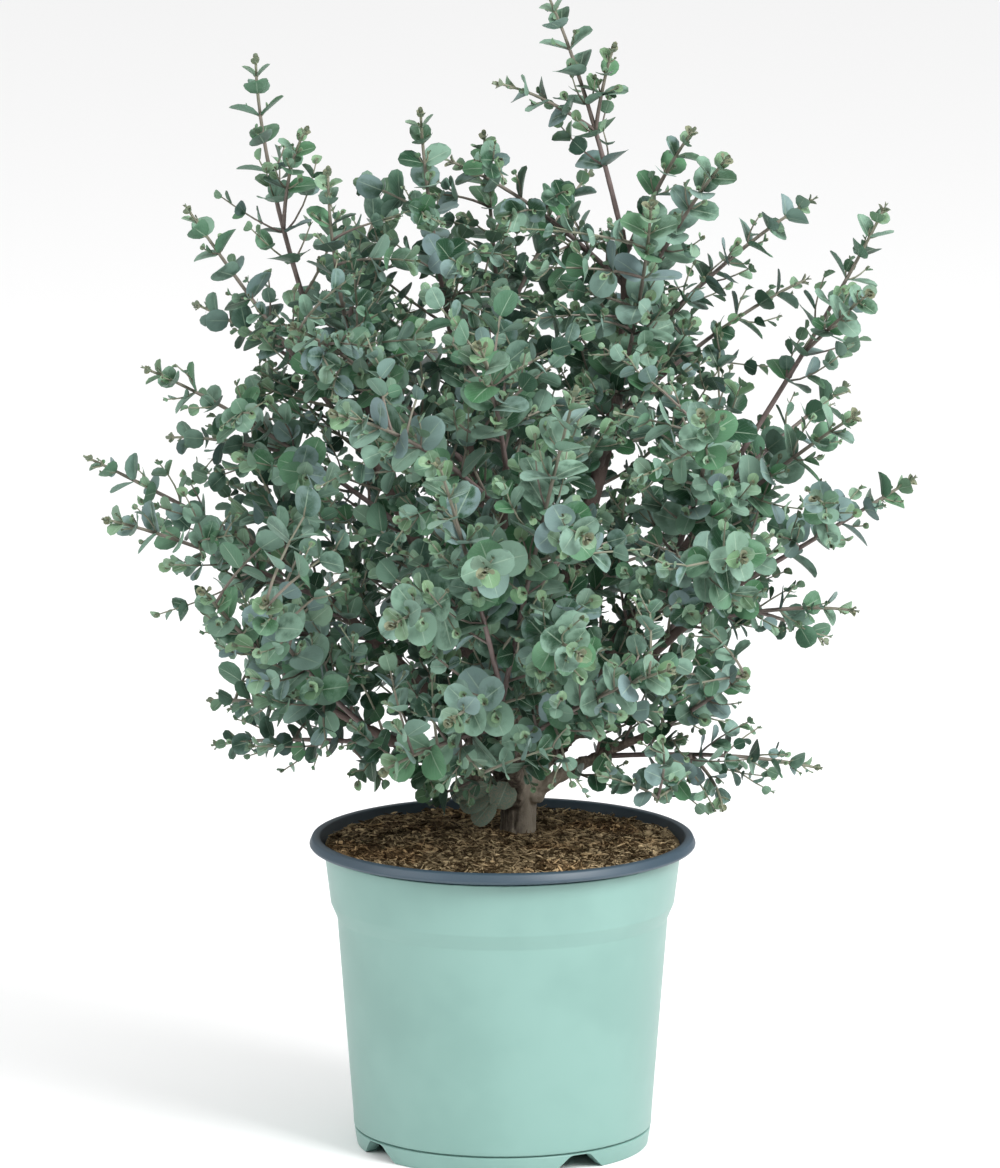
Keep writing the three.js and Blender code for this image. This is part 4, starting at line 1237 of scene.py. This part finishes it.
class Nodes:
    """Short names for the nodes of one tree."""

    def __init__(self, tree):
        self.tree = tree

    def add(self, kind, inputs=None, **settings):
        node = self.tree.nodes.new(kind)
        for name, value in settings.items():
            setattr(node, name, value)
        for name, value in (inputs or {}).items():
            self.feed(node.inputs[name], value)
        return node

    def feed(self, socket, value):
        if isinstance(value, bpy.types.NodeSocket):
            self.tree.links.new(value, socket)
        elif socket.type == "RGBA" and len(value) == 3:
            socket.default_value = (*value, 1.0)
        else:
            socket.default_value = value

    def math(self, operation, a, b=0.0, c=0.0):
        return self.add("ShaderNodeMath", {0: a, 1: b, 2: c}, operation=operation).outputs[0]

    def times(self, a, b):
        return self.math("MULTIPLY", a, b)

    def mix(self, factor, a, b, blend="MIX"):
        node = self.add("ShaderNodeMix", {0: factor, 6: a, 7: b}, data_type="RGBA", blend_type=blend)
        return node.outputs[2]

    def tint(self):
        """The red, green, blue and alpha of the colour that the faces' corners carry."""
        colour = self.add("ShaderNodeVertexColor", layer_name="tint").outputs
        parts = self.add("ShaderNodeSeparateColor", {0: colour["Color"]}).outputs
        return parts[0], parts[1], parts[2], colour["Alpha"]

    def bump(self, strength, distance, height, normal):
        """The normal with a height's relief on top of it."""
        values = {"Strength": strength, "Distance": distance, "Height": height, "Normal": normal}
        return self.add("ShaderNodeBump", values).outputs["Normal"]

    def smooth(self, value, low, high, to_low=0.0, to_high=1.0):
        node = self.add("ShaderNodeMapRange", {0: value, 1: low, 2: high, 3: to_low, 4: to_high})
        node.interpolation_type = "SMOOTHSTEP"
        return node.outputs[0]

    def noise(self, place, scale, detail=4.0, roughness=0.55):
        node = self.add("ShaderNodeTexNoise", {"Vector": place, "Scale": scale, "Detail": detail})
        node.inputs["Roughness"].default_value = roughness
        return node.outputs["Fac"]


def mottle_group():
    """Mottling that every finish shares: large patches, fine grain and a bump normal."""
    if "Mottle" in bpy.data.node_groups:
        return bpy.data.node_groups["Mottle"]
    group = new_group(
        "Mottle",
        [("Patch Scale", "NodeSocketFloat", 30.0), ("Grain Scale", "NodeSocketFloat", 600.0),
         ("Relief", "NodeSocketFloat", 0.2), ("Depth", "NodeSocketFloat", 0.0003)],
        [("Patches", "NodeSocketFloat"), ("Grain", "NodeSocketFloat"), ("Normal", "NodeSocketVector")],
    )
    nodes = Nodes(group)
    given = nodes.add("NodeGroupInput")
    place = nodes.add("ShaderNodeTexCoord").outputs["Object"]
    patches = nodes.noise(place, given.outputs["Patch Scale"], 3.0)
    grain = nodes.noise(place, given.outputs["Grain Scale"], 6.0, 0.65)
    bump = nodes.add("ShaderNodeBump", {
        "Strength": given.outputs["Relief"], "Distance": given.outputs["Depth"], "Height": grain})
    nodes.add("NodeGroupOutput", {
        "Patches": nodes.smooth(patches, 0.35, 0.65), "Grain": grain, "Normal": bump.outputs["Normal"]})
    return group


def new_material(name):
    material = bpy.data.materials.new(name)
    material.use_nodes = True
    nodes = Nodes(material.node_tree)
    shader = material.node_tree.nodes["Principled BSDF"]
    return material, nodes, shader


def mottle(nodes, patch_scale, grain_scale, relief, depth):
    """The shared mottling in one material, with its own values."""
    node = nodes.add("ShaderNodeGroup", node_tree=mottle_group())
    values = {"Patch Scale": patch_scale, "Grain Scale": grain_scale, "Relief": relief, "Depth": depth}
    for name, value in values.items():
        node.inputs[name].default_value = value
    return node.outputs


def plastic_material(name, colour, roughness, coat):
    """Moulded plastic: an even colour with faint clouding and a fine skin."""
    material, nodes, shader = new_material(name)
    marks = mottle(nodes, 14.0, 1500.0, 0.05, 0.0001)
    pale = tuple(min(c * 1.07 + 0.01, 1) for c in colour)
    nodes.feed(shader.inputs["Base Color"], nodes.mix(marks["Patches"], colour, pale))
    rough = nodes.math("MULTIPLY_ADD", marks["Grain"], 0.12, roughness - 0.06)
    nodes.feed(shader.inputs["Roughness"], rough)
    nodes.feed(shader.inputs["Normal"], marks["Normal"])
    shader.inputs["Coat Weight"].default_value = coat
    shader.inputs["Coat Roughness"].default_value = 0.35
    return material


def leaf_material(plant):
    """Leaves: tint red is how bloomed, with painted light on the front and outer sides and painted shade at
    the back and inside; green is age, blue marks the under face and alpha is the leaf's hue.
    The blade's own places carry the midrib, the side veins and the thin dark margin."""
    material, nodes, shader = new_material("cider gum leaf")
    bloom, age, under, hue = nodes.tint()
    blade = nodes.add("ShaderNodeUVMap", uv_map="blade").outputs["UV"]
    across, along = nodes.add("ShaderNodeSeparateXYZ", {0: blade}).outputs[:2]
    marks = mottle(nodes, 130.0, 1400.0, 0.12, 0.00025)
    out = nodes.math("ABSOLUTE", nodes.math("SUBTRACT", across, 0.5))
    # Bloom is thickest towards the margin and the tip, and rubbed off in patches.
    wax_and_painted_light = nodes.math("ADD", bloom, nodes.math("MULTIPLY_ADD", marks["Patches"], 0.45, -0.3))
    wax_and_painted_light = nodes.math("ADD", wax_and_painted_light, nodes.smooth(out, 0.1, 0.5, -0.08, 0.3))
    # Barer and darker towards the seat: painted shade where the blade meets its stem, and wear.
    wax_and_painted_light = nodes.math("ADD", wax_and_painted_light, nodes.smooth(along, 0.0, 0.6, -0.22, 0.06))
    base = nodes.mix(nodes.smooth(wax_and_painted_light, 0.0, 1.0), plant.bare, plant.bloomed)
    blue = nodes.times(nodes.smooth(hue, 0.6, 1.0, 0.0, 0.9), nodes.smooth(wax_and_painted_light, 0.1, 0.7))
    base = nodes.mix(blue, base, plant.bluish)
    base = nodes.mix(nodes.smooth(hue, 0.36, 0.0, 0.0, 0.8), base, plant.fresh)
    base = nodes.mix(nodes.smooth(age, 0.08, 0.6, 0.7, 0.0), base, plant.young)
    base = nodes.mix(nodes.smooth(age, 0.0, 0.04, 0.8, 0.0), base, LEAF_BUD)
    base = nodes.mix(nodes.times(under, 0.35), base, LEAF_UNDER_FACE)
    old = nodes.smooth(age, 1.2, 1.8)
    base = nodes.mix(nodes.times(old, 0.75), base, LEAF_OLD)
    spots = nodes.times(nodes.times(old, 0.8), nodes.smooth(marks["Grain"], 0.42, 0.6))
    base = nodes.mix(spots, base, LEAF_SPOTS)
    # Side veins leave the midrib at about 45 degrees and fade towards the margin.
    slant = nodes.math("SUBTRACT", along, nodes.times(out, 0.9))
    wave = nodes.math("ABSOLUTE", nodes.math("SINE", nodes.times(slant, 26.0)))
    veins = nodes.times(nodes.smooth(wave, 0.16, 0.0), nodes.smooth(out, 0.47, 0.2))
    base = nodes.mix(nodes.times(veins, 0.16), base, plant.rib)
    rib_width = nodes.math("MULTIPLY_ADD", along, -0.014, 0.026)
    rib = nodes.smooth(nodes.math("DIVIDE", out, rib_width), 1.5, 0.6)
    rib = nodes.times(rib, nodes.smooth(along, 1.0, 0.6, 0.1, 0.5))
    base = nodes.mix(rib, base, plant.rib)
    edge = nodes.smooth(out, 0.478, 0.5)
    base = nodes.mix(nodes.times(edge, 0.45), base, LEAF_EDGE)
    nodes.feed(shader.inputs["Base Color"], base)
    rough = nodes.math("MULTIPLY_ADD", wax_and_painted_light, 0.22, 0.38)
    nodes.feed(shader.inputs["Roughness"], nodes.math("MULTIPLY_ADD", marks["Grain"], 0.1, rough))
    relief = nodes.bump(0.35, 0.0005, nodes.math("MAXIMUM", rib, veins), marks["Normal"])
    nodes.feed(shader.inputs["Normal"], relief)
    shader.inputs["Specular IOR Level"].default_value = 0.3
    shader.inputs["Sheen Weight"].default_value = 0.08
    shader.inputs["Sheen Roughness"].default_value = 0.5
    return material


def twig_material(plant):
    """Twigs: tint green is how ripe they are, from green to grey-brown, with a dusting of bloom."""
    material, nodes, shader = new_material("cider gum twig")
    ripe = nodes.tint()[1]
    marks = mottle(nodes, 260.0, 1900.0, 0.4, 0.0003)
    base = nodes.mix(nodes.smooth(ripe, 0.1, 0.9), TWIG_YOUNG, plant.twig)
    base = nodes.mix(nodes.times(marks["Patches"], 0.35), base, TWIG_DUSTED)
    base = nodes.mix(nodes.times(marks["Grain"], 0.3), base, TWIG_DARK)
    nodes.feed(shader.inputs["Base Color"], base)
    nodes.feed(shader.inputs["Roughness"], nodes.math("MULTIPLY_ADD", marks["Grain"], 0.25, 0.5))
    nodes.feed(shader.inputs["Normal"], marks["Normal"])
    return material


def bark_material(plant):
    """Bark: tint red goes from the dark flaking crown to smooth limbs, green is the furrows and blue the
    paler stem on the trunk's right side, which is also painted light from the key lamp on that side."""
    material, nodes, shader = new_material("cider gum bark")
    limb, furrow, pale = nodes.tint()[:3]
    marks = mottle(nodes, 120.0, 900.0, 0.7, 0.0008)
    place = nodes.add("ShaderNodeTexCoord").outputs["Object"]
    stretched = nodes.add("ShaderNodeMapping", {"Vector": place, "Scale": (420.0, 420.0, 60.0)}).outputs[0]
    streaks = nodes.noise(stretched, 1.0, 4.0, 0.6)
    base = nodes.mix(marks["Patches"], plant.bark, BARK_PATCHES)
    base = nodes.mix(nodes.smooth(streaks, 0.4, 0.62, 0.75, 0.0), base, BARK_STREAKS)
    base = nodes.mix(nodes.smooth(limb, 0.35, 1.0), base, BARK_LIMB)
    base = nodes.mix(nodes.times(furrow, 0.7), base, BARK_FURROWS)
    # Paler on the trunk's right side: a smoother stem there, and painted light from the key lamp on that
    # side.
    base = nodes.mix(nodes.times(pale, 0.85), base, BARK_PALE_STEM_AND_LIT_SIDE)
    nodes.feed(shader.inputs["Base Color"], base)
    nodes.feed(shader.inputs["Roughness"], nodes.math("MULTIPLY_ADD", streaks, 0.2, 0.75))
    nodes.feed(shader.inputs["Normal"], nodes.bump(0.6, 0.0008, streaks, marks["Normal"]))
    return material


def peat_material(medium):
    """Compost and its fibres: tint red is how dry a crumb or fibre is."""
    material, nodes, shader = new_material("compost")
    marks = mottle(nodes, 160.0, 1100.0, 0.9, 0.0012)
    dry = nodes.math("ADD", nodes.tint()[0], nodes.math("MULTIPLY_ADD", marks["Grain"], 1.1, -0.55))
    base = nodes.mix(nodes.smooth(dry, 0.0, 1.0), medium.damp, medium.dry)
    base = nodes.mix(nodes.times(marks["Patches"], 0.35), base, PEAT_DARK)
    warm = nodes.noise(nodes.add("ShaderNodeTexCoord").outputs["Object"], 16.0, 2.0)
    base = nodes.mix(nodes.smooth(warm, 0.48, 0.62), base, PEAT_WARMTH, "MULTIPLY")
    nodes.feed(shader.inputs["Base Color"], base)
    shader.inputs["Roughness"].default_value = 0.92
    shader.inputs["Specular IOR Level"].default_value = 0.2
    nodes.feed(shader.inputs["Normal"], marks["Normal"])
    return material


# Operators
class CIDERGUM_OT_pot(bpy.types.Operator):
    """Moulds the pot's mint outer layer and its slate inner layer with the rolled rim"""

    bl_idname = "cider_gum.pot"
    bl_label = "Pot"

    def execute(self, context):
        settings = context.scene.cider_gum_pot
        outer = bare_object("pot_outer_moulded", *lathe(filleted(outer_section()), settings.segments))
        cut(outer, notch_cutters() + drain_cutters())
        inner = bare_object("pot_liner_moulded", *lathe(filleted(liner_section()), settings.segments))
        cut(inner, drain_cutters())
        mint = plastic_material("mint plastic", settings.mint, 0.42, 0.15)
        slate = plastic_material("slate plastic", settings.slate, 0.5, 0.1)
        pieces = (
            (outer, "pot_outer_layer", "pot_mint", mint),
            (inner, "pot_inner_layer", "pot_slate", slate),
        )
        for piece, node, slot, material in pieces:
            piece.data.polygons.foreach_set("use_smooth", [True] * len(piece.data.polygons))
            piece.data.set_sharp_from_angle(angle=math.radians(POT_SHARP_ANGLE))
            piece.data.materials.clear()
            piece.data.materials.append(material)
            settle(piece, [node])
        return {"FINISHED"}


class CIDERGUM_OT_medium(bpy.types.Operator):
    """Fills the pot with compost and scatters fibres and chips on it"""

    bl_idname = "cider_gum.medium"
    bl_label = "Growing medium"

    def execute(self, context):
        settings = context.scene.cider_gum_medium
        material = peat_material(settings)
        skin = 2 * LAYER + 2 * GAP
        floor = BASE_TOP + skin - LAYER
        profile = [(0, floor)] + wall_section(skin, floor) + [(SOIL_RADIUS - 2.6, SOIL_LEVEL - SOIL_BEVEL)]
        profile.append((SOIL_RADIUS, SOIL_LEVEL - 0.7))
        for i in range(1, SOIL_RINGS):
            profile.append((SOIL_RADIUS * (1 - i / SOIL_RINGS) ** 0.8, SOIL_LEVEL))
        points, faces = lathe(profile + [(0, SOIL_LEVEL)], SOIL_SEGMENTS)
        rng = random.Random(CRUMB_SEED)
        raised = [(x, y, self.raised(x, y, z)) for x, y, z in points]
        body = Skin()
        body.add(raised, faces, 0, [(0.2 + 0.25 * rng.random(), 0, 0, 1) for face in faces])
        fibres = self.fibres(settings.fibres)
        body.piece("compost", [material], ["growing_medium"], "growing_medium")
        fibres.piece("compost_fibres", [material], [], "growing_medium", FIBRE_SHARP_ANGLE)
        return {"FINISHED"}

    def raised(self, x, y, z):
        """A height on the compost's upper face, with its crumbs, clods and cracks."""
        r = math.hypot(x, y)
        if z <= SOIL_LEVEL - 0.5 or r >= SOIL_RADIUS - 0.3:
            return z
        crumbs = noise.fractal(Vector((x, y, 3.0)) * 0.16, 0.8, 2.2, 5)
        clods = noise.noise(Vector((x, y, 9.0)) * 0.05)
        edge = min((SOIL_RADIUS - r) / 6, 1)
        crack = max(CRACK_WIDTH - abs(noise.noise(Vector((x, y, 5.0)) * 0.3)), 0)
        relief = CRUMB_HEIGHT * crumbs + CLOD_HEIGHT * clods - CRACK_DEPTH * crack / CRACK_WIDTH
        return soil_top(x, y) + edge * relief

    def fibres(self, count):
        """Bark fibres and chips, each a tapered splinter that lies nearly flat."""
        rng = random.Random(FIBRE_SEED)
        skin = Skin()
        while len(skin.points) < count:
            r, turn = (SOIL_RADIUS - 2.5) * math.sqrt(rng.random()), rng.uniform(0, math.tau)
            x, y = r * math.cos(turn), r * math.sin(turn)
            if math.hypot(x - TRUNK_FOOT[0], y - TRUNK_FOOT[1]) < TRUNK_RADIUS:
                continue
            chip = rng.random() < CHIP_SHARE
            length = rng.uniform(2.5, 6.5) if chip else rng.uniform(4.0, 13.0) * rng.uniform(0.5, 1.0)
            width = rng.uniform(1.0, 3.0) if chip else rng.uniform(0.45, 1.3)
            thick = width * rng.uniform(0.3, 0.7)
            heading = rng.uniform(0, math.tau)
            tilt = rng.gauss(0, 0.3)
            level = np.array((math.cos(heading), math.sin(heading), 0.0))
            way = level * math.cos(tilt) + np.array((0.0, 0.0, math.sin(tilt)))
            roll = rng.uniform(-0.7, 0.7)
            side = turned_about(np.array((-math.sin(heading), math.cos(heading), 0.0)), way, roll)
            rise = np.cross(way, side)
            centre = np.array((x, y, soil_top(x, y) + rng.uniform(0.0, 1.8)))
            bend = rng.uniform(-0.12, 0.12) * length
            points = []
            for share, wide in ((-0.5, 0.35), (0.0, 1.0), (0.5, 0.3)):
                middle = centre + way * share * length + side * bend * (1 - 4 * share * share)
                for a, b in ((-1, -1), (1, -1), (1, 1), (-1, 1)):
                    points.append(middle + side * a * width * wide / 2 + rise * b * thick * wide / 2)
            if max(math.hypot(p[0], p[1]) for p in points) > SOIL_RADIUS - 0.8:
                continue
            faces = [[3, 2, 1, 0], [8, 9, 10, 11]]
            for ring in (0, 4):
                for k in range(4):
                    j = (k + 1) % 4
                    faces.append([ring + k, ring + j, ring + 4 + j, ring + 4 + k])
            dry = rng.random() ** 1.7
            skin.add(points, faces, 0, [(dry, 0, 0, 1)] * len(faces))
        return skin


class CIDERGUM_OT_wood(bpy.types.Operator):
    """Grows the trunk's flaking crown and the limbs"""

    bl_idname = "cider_gum.wood"
    bl_label = "Trunk and limbs"

    def execute(self, context):
        plant = grown_plant()
        skin = Skin()
        foot = np.array(TRUNK_FOOT)
        buried = np.linspace(foot, np.array((foot[0], foot[1], SOIL_LEVEL + 1)), 8)
        add_tube(skin, buried, [TRUNK_RADIUS - 1.4] * 8, 20, 0)
        outer = Skin()
        for limb in plant.limbs:
            radii = np.linspace(limb.radii[0], limb.radii[1], len(limb.points))
            near = int((np.linalg.norm(limb.points - np.array(FORK), axis=1) < CROWN_REACH).sum())
            add_tube(skin, limb.points[:near], radii[:near], CROWN_SIDES, 0)
            if near < len(limb.points):
                add_tube(outer, limb.points[near - 2:], radii[near - 2:], LIMB_SIDES, 0)
        for x, y, z, r in CROWN_KNOBS:
            points, faces = lathe([(0, -r), (0.7 * r, -0.7 * r), (r, 0), (0.7 * r, 0.7 * r), (0, r)], 12)
            placed = [(x + px, y + py, z + pz) for px, py, pz in points]
            skin.add(placed, faces, 0, [(0, 0, 0, 1)] * len(faces))
        bark = bark_material(context.scene.cider_gum_plant)
        wood = skin.piece("trunk_bark", [bark], ["trunk_and_limbs"], "bark")
        remesh = wood.modifiers.new("join", "REMESH")
        remesh.mode = "VOXEL"
        remesh.voxel_size = WOOD_VOXEL * MM
        apply_modifiers(wood)
        limbs = bare_object("limbs", np.concatenate(outer.points), outer.faces)
        joined = bmesh.new()
        joined.from_mesh(wood.data)
        joined.from_mesh(limbs.data)
        joined.to_mesh(wood.data)
        joined.free()
        bpy.data.objects.remove(limbs)
        self.weather(wood)
        return {"FINISHED"}

    def weather(self, wood):
        """Raises flakes and furrows that fade from the crown out along the limbs."""
        mesh = wood.data
        tint = mesh.color_attributes.new("tint", "FLOAT_COLOR", "POINT")
        colours = []
        for vertex, normal in zip(mesh.vertices, [v.normal.copy() for v in mesh.vertices]):
            place = vertex.co / MM
            from_fork = (place - Vector(FORK)).length
            smooth = clamp((from_fork - SMOOTH_FROM) / SMOOTH_OVER) if place.z > SOIL_LEVEL else 0
            plates = noise.fractal(Vector((place.x * 0.22, place.y * 0.22, place.z * 0.1)), 0.9, 2.1, 4)
            furrow = abs(noise.noise(Vector((place.x * 0.3, place.y * 0.3, place.z * 0.06))))
            furrow = max(FURROW_WIDTH - furrow, 0)
            below = 0.0 if place.z < SOIL_LEVEL - 1 else 1.0
            # The trunk's right side is a smoother, paler stem than the old crown beside it, and its
            # paleness is also painted light from the key lamp on that side.
            pale = clamp((place.x - 9) / 7) * (1 - clamp((place.z - 216) / 16))
            rough = below * (1 - smooth) * (1 - 0.75 * pale)
            height = rough * (FLAKE_HEIGHT * plates - FURROW_DEPTH * furrow) + SMOOTH_FLAKES * plates
            vertex.co = vertex.co + normal * height * MM
            colours.extend((smooth, min(furrow * 4, 1) * (1 - smooth) * (1 - pale), pale, 1))
        tint.data.foreach_set("color", colours)
        mesh.polygons.foreach_set("use_smooth", [True] * len(mesh.polygons))
        mesh.update()


class CIDERGUM_OT_foliage(bpy.types.Operator):
    """Grows every leafy branch: its stem, forks, side shoots, buds and all its leaves"""

    bl_idname = "cider_gum.foliage"
    bl_label = "Leafy branches"

    def execute(self, context):
        plant = grown_plant()
        settings = context.scene.cider_gum_plant
        materials = [leaf_material(settings), twig_material(settings)]
        for branch in plant.branches:
            x, y, z = branch["stems"][0].points[-1]
            # Branches on the lit front and far out at the sides get more bloom, as painted light, and those
            # to the back less, as painted shade.
            bloom = BLOOM_MIDDLE - PAINTED_SHADE_TO_BACK * y + PAINTED_LIGHT_TO_SIDES * abs(x)
            bloom = clamp(bloom - BLOOM_UPWARDS * (z - BLOOM_HEIGHT), *BLOOM_RANGE)
            skin = self.branch(branch, bloom)
            name = branch["name"]
            skin.piece("leafy_" + name, materials, ["branch_" + name], "foliage", LEAF_SHARP_ANGLE)
        for inner in plant.inner:
            # Inner shoots get the least bloom: their darker leaves are painted shade inside the bush.
            skin = self.branch(inner, INNER_BLOOM_PAINTED_SHADE)
            skin.piece("inner_" + inner["name"], materials, [], "foliage", LEAF_SHARP_ANGLE)
        return {"FINISHED"}

    def branch(self, branch, bloom):
        """A branch's stems, shoots and leaves, with each leaf's own share of bloom and of its branch's
        painted light and shade.
        """
        rng = random.Random(TONE_SEED + branch["index"])
        skin = Skin()
        for order, stem in enumerate(branch.get("stems", [])):
            radii = np.linspace(stem.radii[0], stem.radii[1], len(stem.points))
            ripe = (1.0, 0.35) if order == 0 else (0.8, 0.25)
            add_tube(skin, stem.points, radii, STEM_SIDES, 1, ripe, 0.05)
        for shoot, ripe in branch["shoots"]:
            radii = np.linspace(shoot.radii[0], shoot.radii[1], len(shoot.points))
            ripe *= rng.uniform(0.6, 1.1)
            add_tube(skin, shoot.points[::2], radii[::2], SHOOT_SIDES, 1, (ripe, 0.3 * ripe))
        for leaf in branch["leaves"]:
            # Each leaf's tone is its branch's bloom, painted light and shade included, with a random
            # spread.
            add_blade(skin, leaf, clamp(bloom + rng.gauss(0, BLOOM_SPREAD)), rng)
        return skin


class CIDERGUM_OT_stage(bpy.types.Operator):
    """Sets the plain floor, the soft studio light and the camera"""

    bl_idname = "cider_gum.stage"
    bl_label = "Stage"

    def execute(self, context):
        settings = context.scene.cider_gum_stage
        scene = context.scene
        scene.view_settings.view_transform = "Standard"
        mesh = bpy.data.meshes.new("floor")
        corners = [(x * FLOOR_REACH, y * FLOOR_REACH, 0) for x, y in ((-1, -1), (1, -1), (1, 1), (-1, 1))]
        mesh.from_pydata(corners, [], [[0, 1, 2, 3]])
        floor = bpy.data.objects.new("floor", mesh)
        scene.collection.objects.link(floor)
        material, nodes, shader = new_material("plain floor")
        shader.inputs["Base Color"].default_value = (*settings.floor, 1.0)
        shader.inputs["Roughness"].default_value = 0.9
        mesh.materials.append(material)
        world = bpy.data.worlds.new("white surroundings")
        world.use_nodes = True
        nodes = Nodes(world.node_tree)
        background = world.node_tree.nodes["Background"]
        background.inputs["Color"].default_value = (1.0, 1.0, 1.0, 1.0)
        way = nodes.add("ShaderNodeSeparateXYZ", {0: nodes.add("ShaderNodeTexCoord").outputs["Generated"]})
        light = nodes.smooth(way.outputs[2], 0.0, 1.0, settings.horizon, settings.zenith)
        nodes.feed(background.inputs["Strength"], light)
        scene.world = world
        self.lamp("key light", KEY_PLACE, settings.key)
        self.lamp("fill light", FILL_PLACE, settings.key * FILL_SHARE)
        self.camera(scene)
        return {"FINISHED"}

    def lamp(self, name, place, power):
        """A soft square lamp that looks at the plant's middle."""
        light = bpy.data.lights.new(name, "AREA")
        light.size = LAMP_SIZE
        light.energy = power
        lamp = bpy.data.objects.new(name, light)
        bpy.context.scene.collection.objects.link(lamp)
        lamp.location = place
        lamp.rotation_euler = (Vector(LAMP_AIM) - Vector(place)).to_track_quat("-Z", "Y").to_euler()

    def camera(self, scene):
        """A long lens, a little over the plant's middle, that looks down by ten degrees."""
        camera = bpy.data.cameras.new("camera")
        camera.lens = CAMERA_LENS
        body = bpy.data.objects.new("camera", camera)
        scene.collection.objects.link(body)
        tilt = math.radians(CAMERA_ELEVATION)
        aim = Vector(CAMERA_AIM)
        body.location = aim + Vector((0, -math.cos(tilt), math.sin(tilt))) * CAMERA_DISTANCE
        body.rotation_euler = (math.radians(90) - tilt, 0, 0)
        scene.camera = body


OPERATORS = (
    CIDERGUM_OT_stage,
    CIDERGUM_OT_pot,
    CIDERGUM_OT_medium,
    CIDERGUM_OT_wood,
    CIDERGUM_OT_foliage,
)
SETTINGS = {
    "cider_gum_pot": CiderGumPot,
    "cider_gum_medium": CiderGumMedium,
    "cider_gum_plant": CiderGumPlant,
    "cider_gum_stage": CiderGumStage,
}


class CIDERGUM_PT_panel(bpy.types.Panel):
    """Lists the pieces and their settings"""

    bl_idname = "CIDERGUM_PT_panel"
    bl_label = "Potted Cider Gum"
    bl_space_type = "VIEW_3D"
    bl_region_type = "UI"
    bl_category = "Cider Gum"

    def draw(self, context):
        for name, group in SETTINGS.items():
            for key in group.__annotations__:
                self.layout.prop(getattr(context.scene, name), key)
        for operator in OPERATORS:
            self.layout.operator(operator.bl_idname)


CLASSES = (*SETTINGS.values(), *OPERATORS, CIDERGUM_PT_panel)


def register():
    for cls in CLASSES:
        bpy.utils.register_class(cls)
    for name, group in SETTINGS.items():
        setattr(bpy.types.Scene, name, bpy.props.PointerProperty(type=group))


def unregister():
    for name in SETTINGS:
        delattr(bpy.types.Scene, name)
    for cls in reversed(CLASSES):
        bpy.utils.unregister_class(cls)


def main():
    """Dresses the whole plant."""
    register()
    bpy.ops.cider_gum.stage()
    bpy.ops.cider_gum.pot()
    bpy.ops.cider_gum.medium()
    bpy.ops.cider_gum.wood()
    bpy.ops.cider_gum.foliage()
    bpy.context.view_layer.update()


if __name__ == "__main__":
    main()
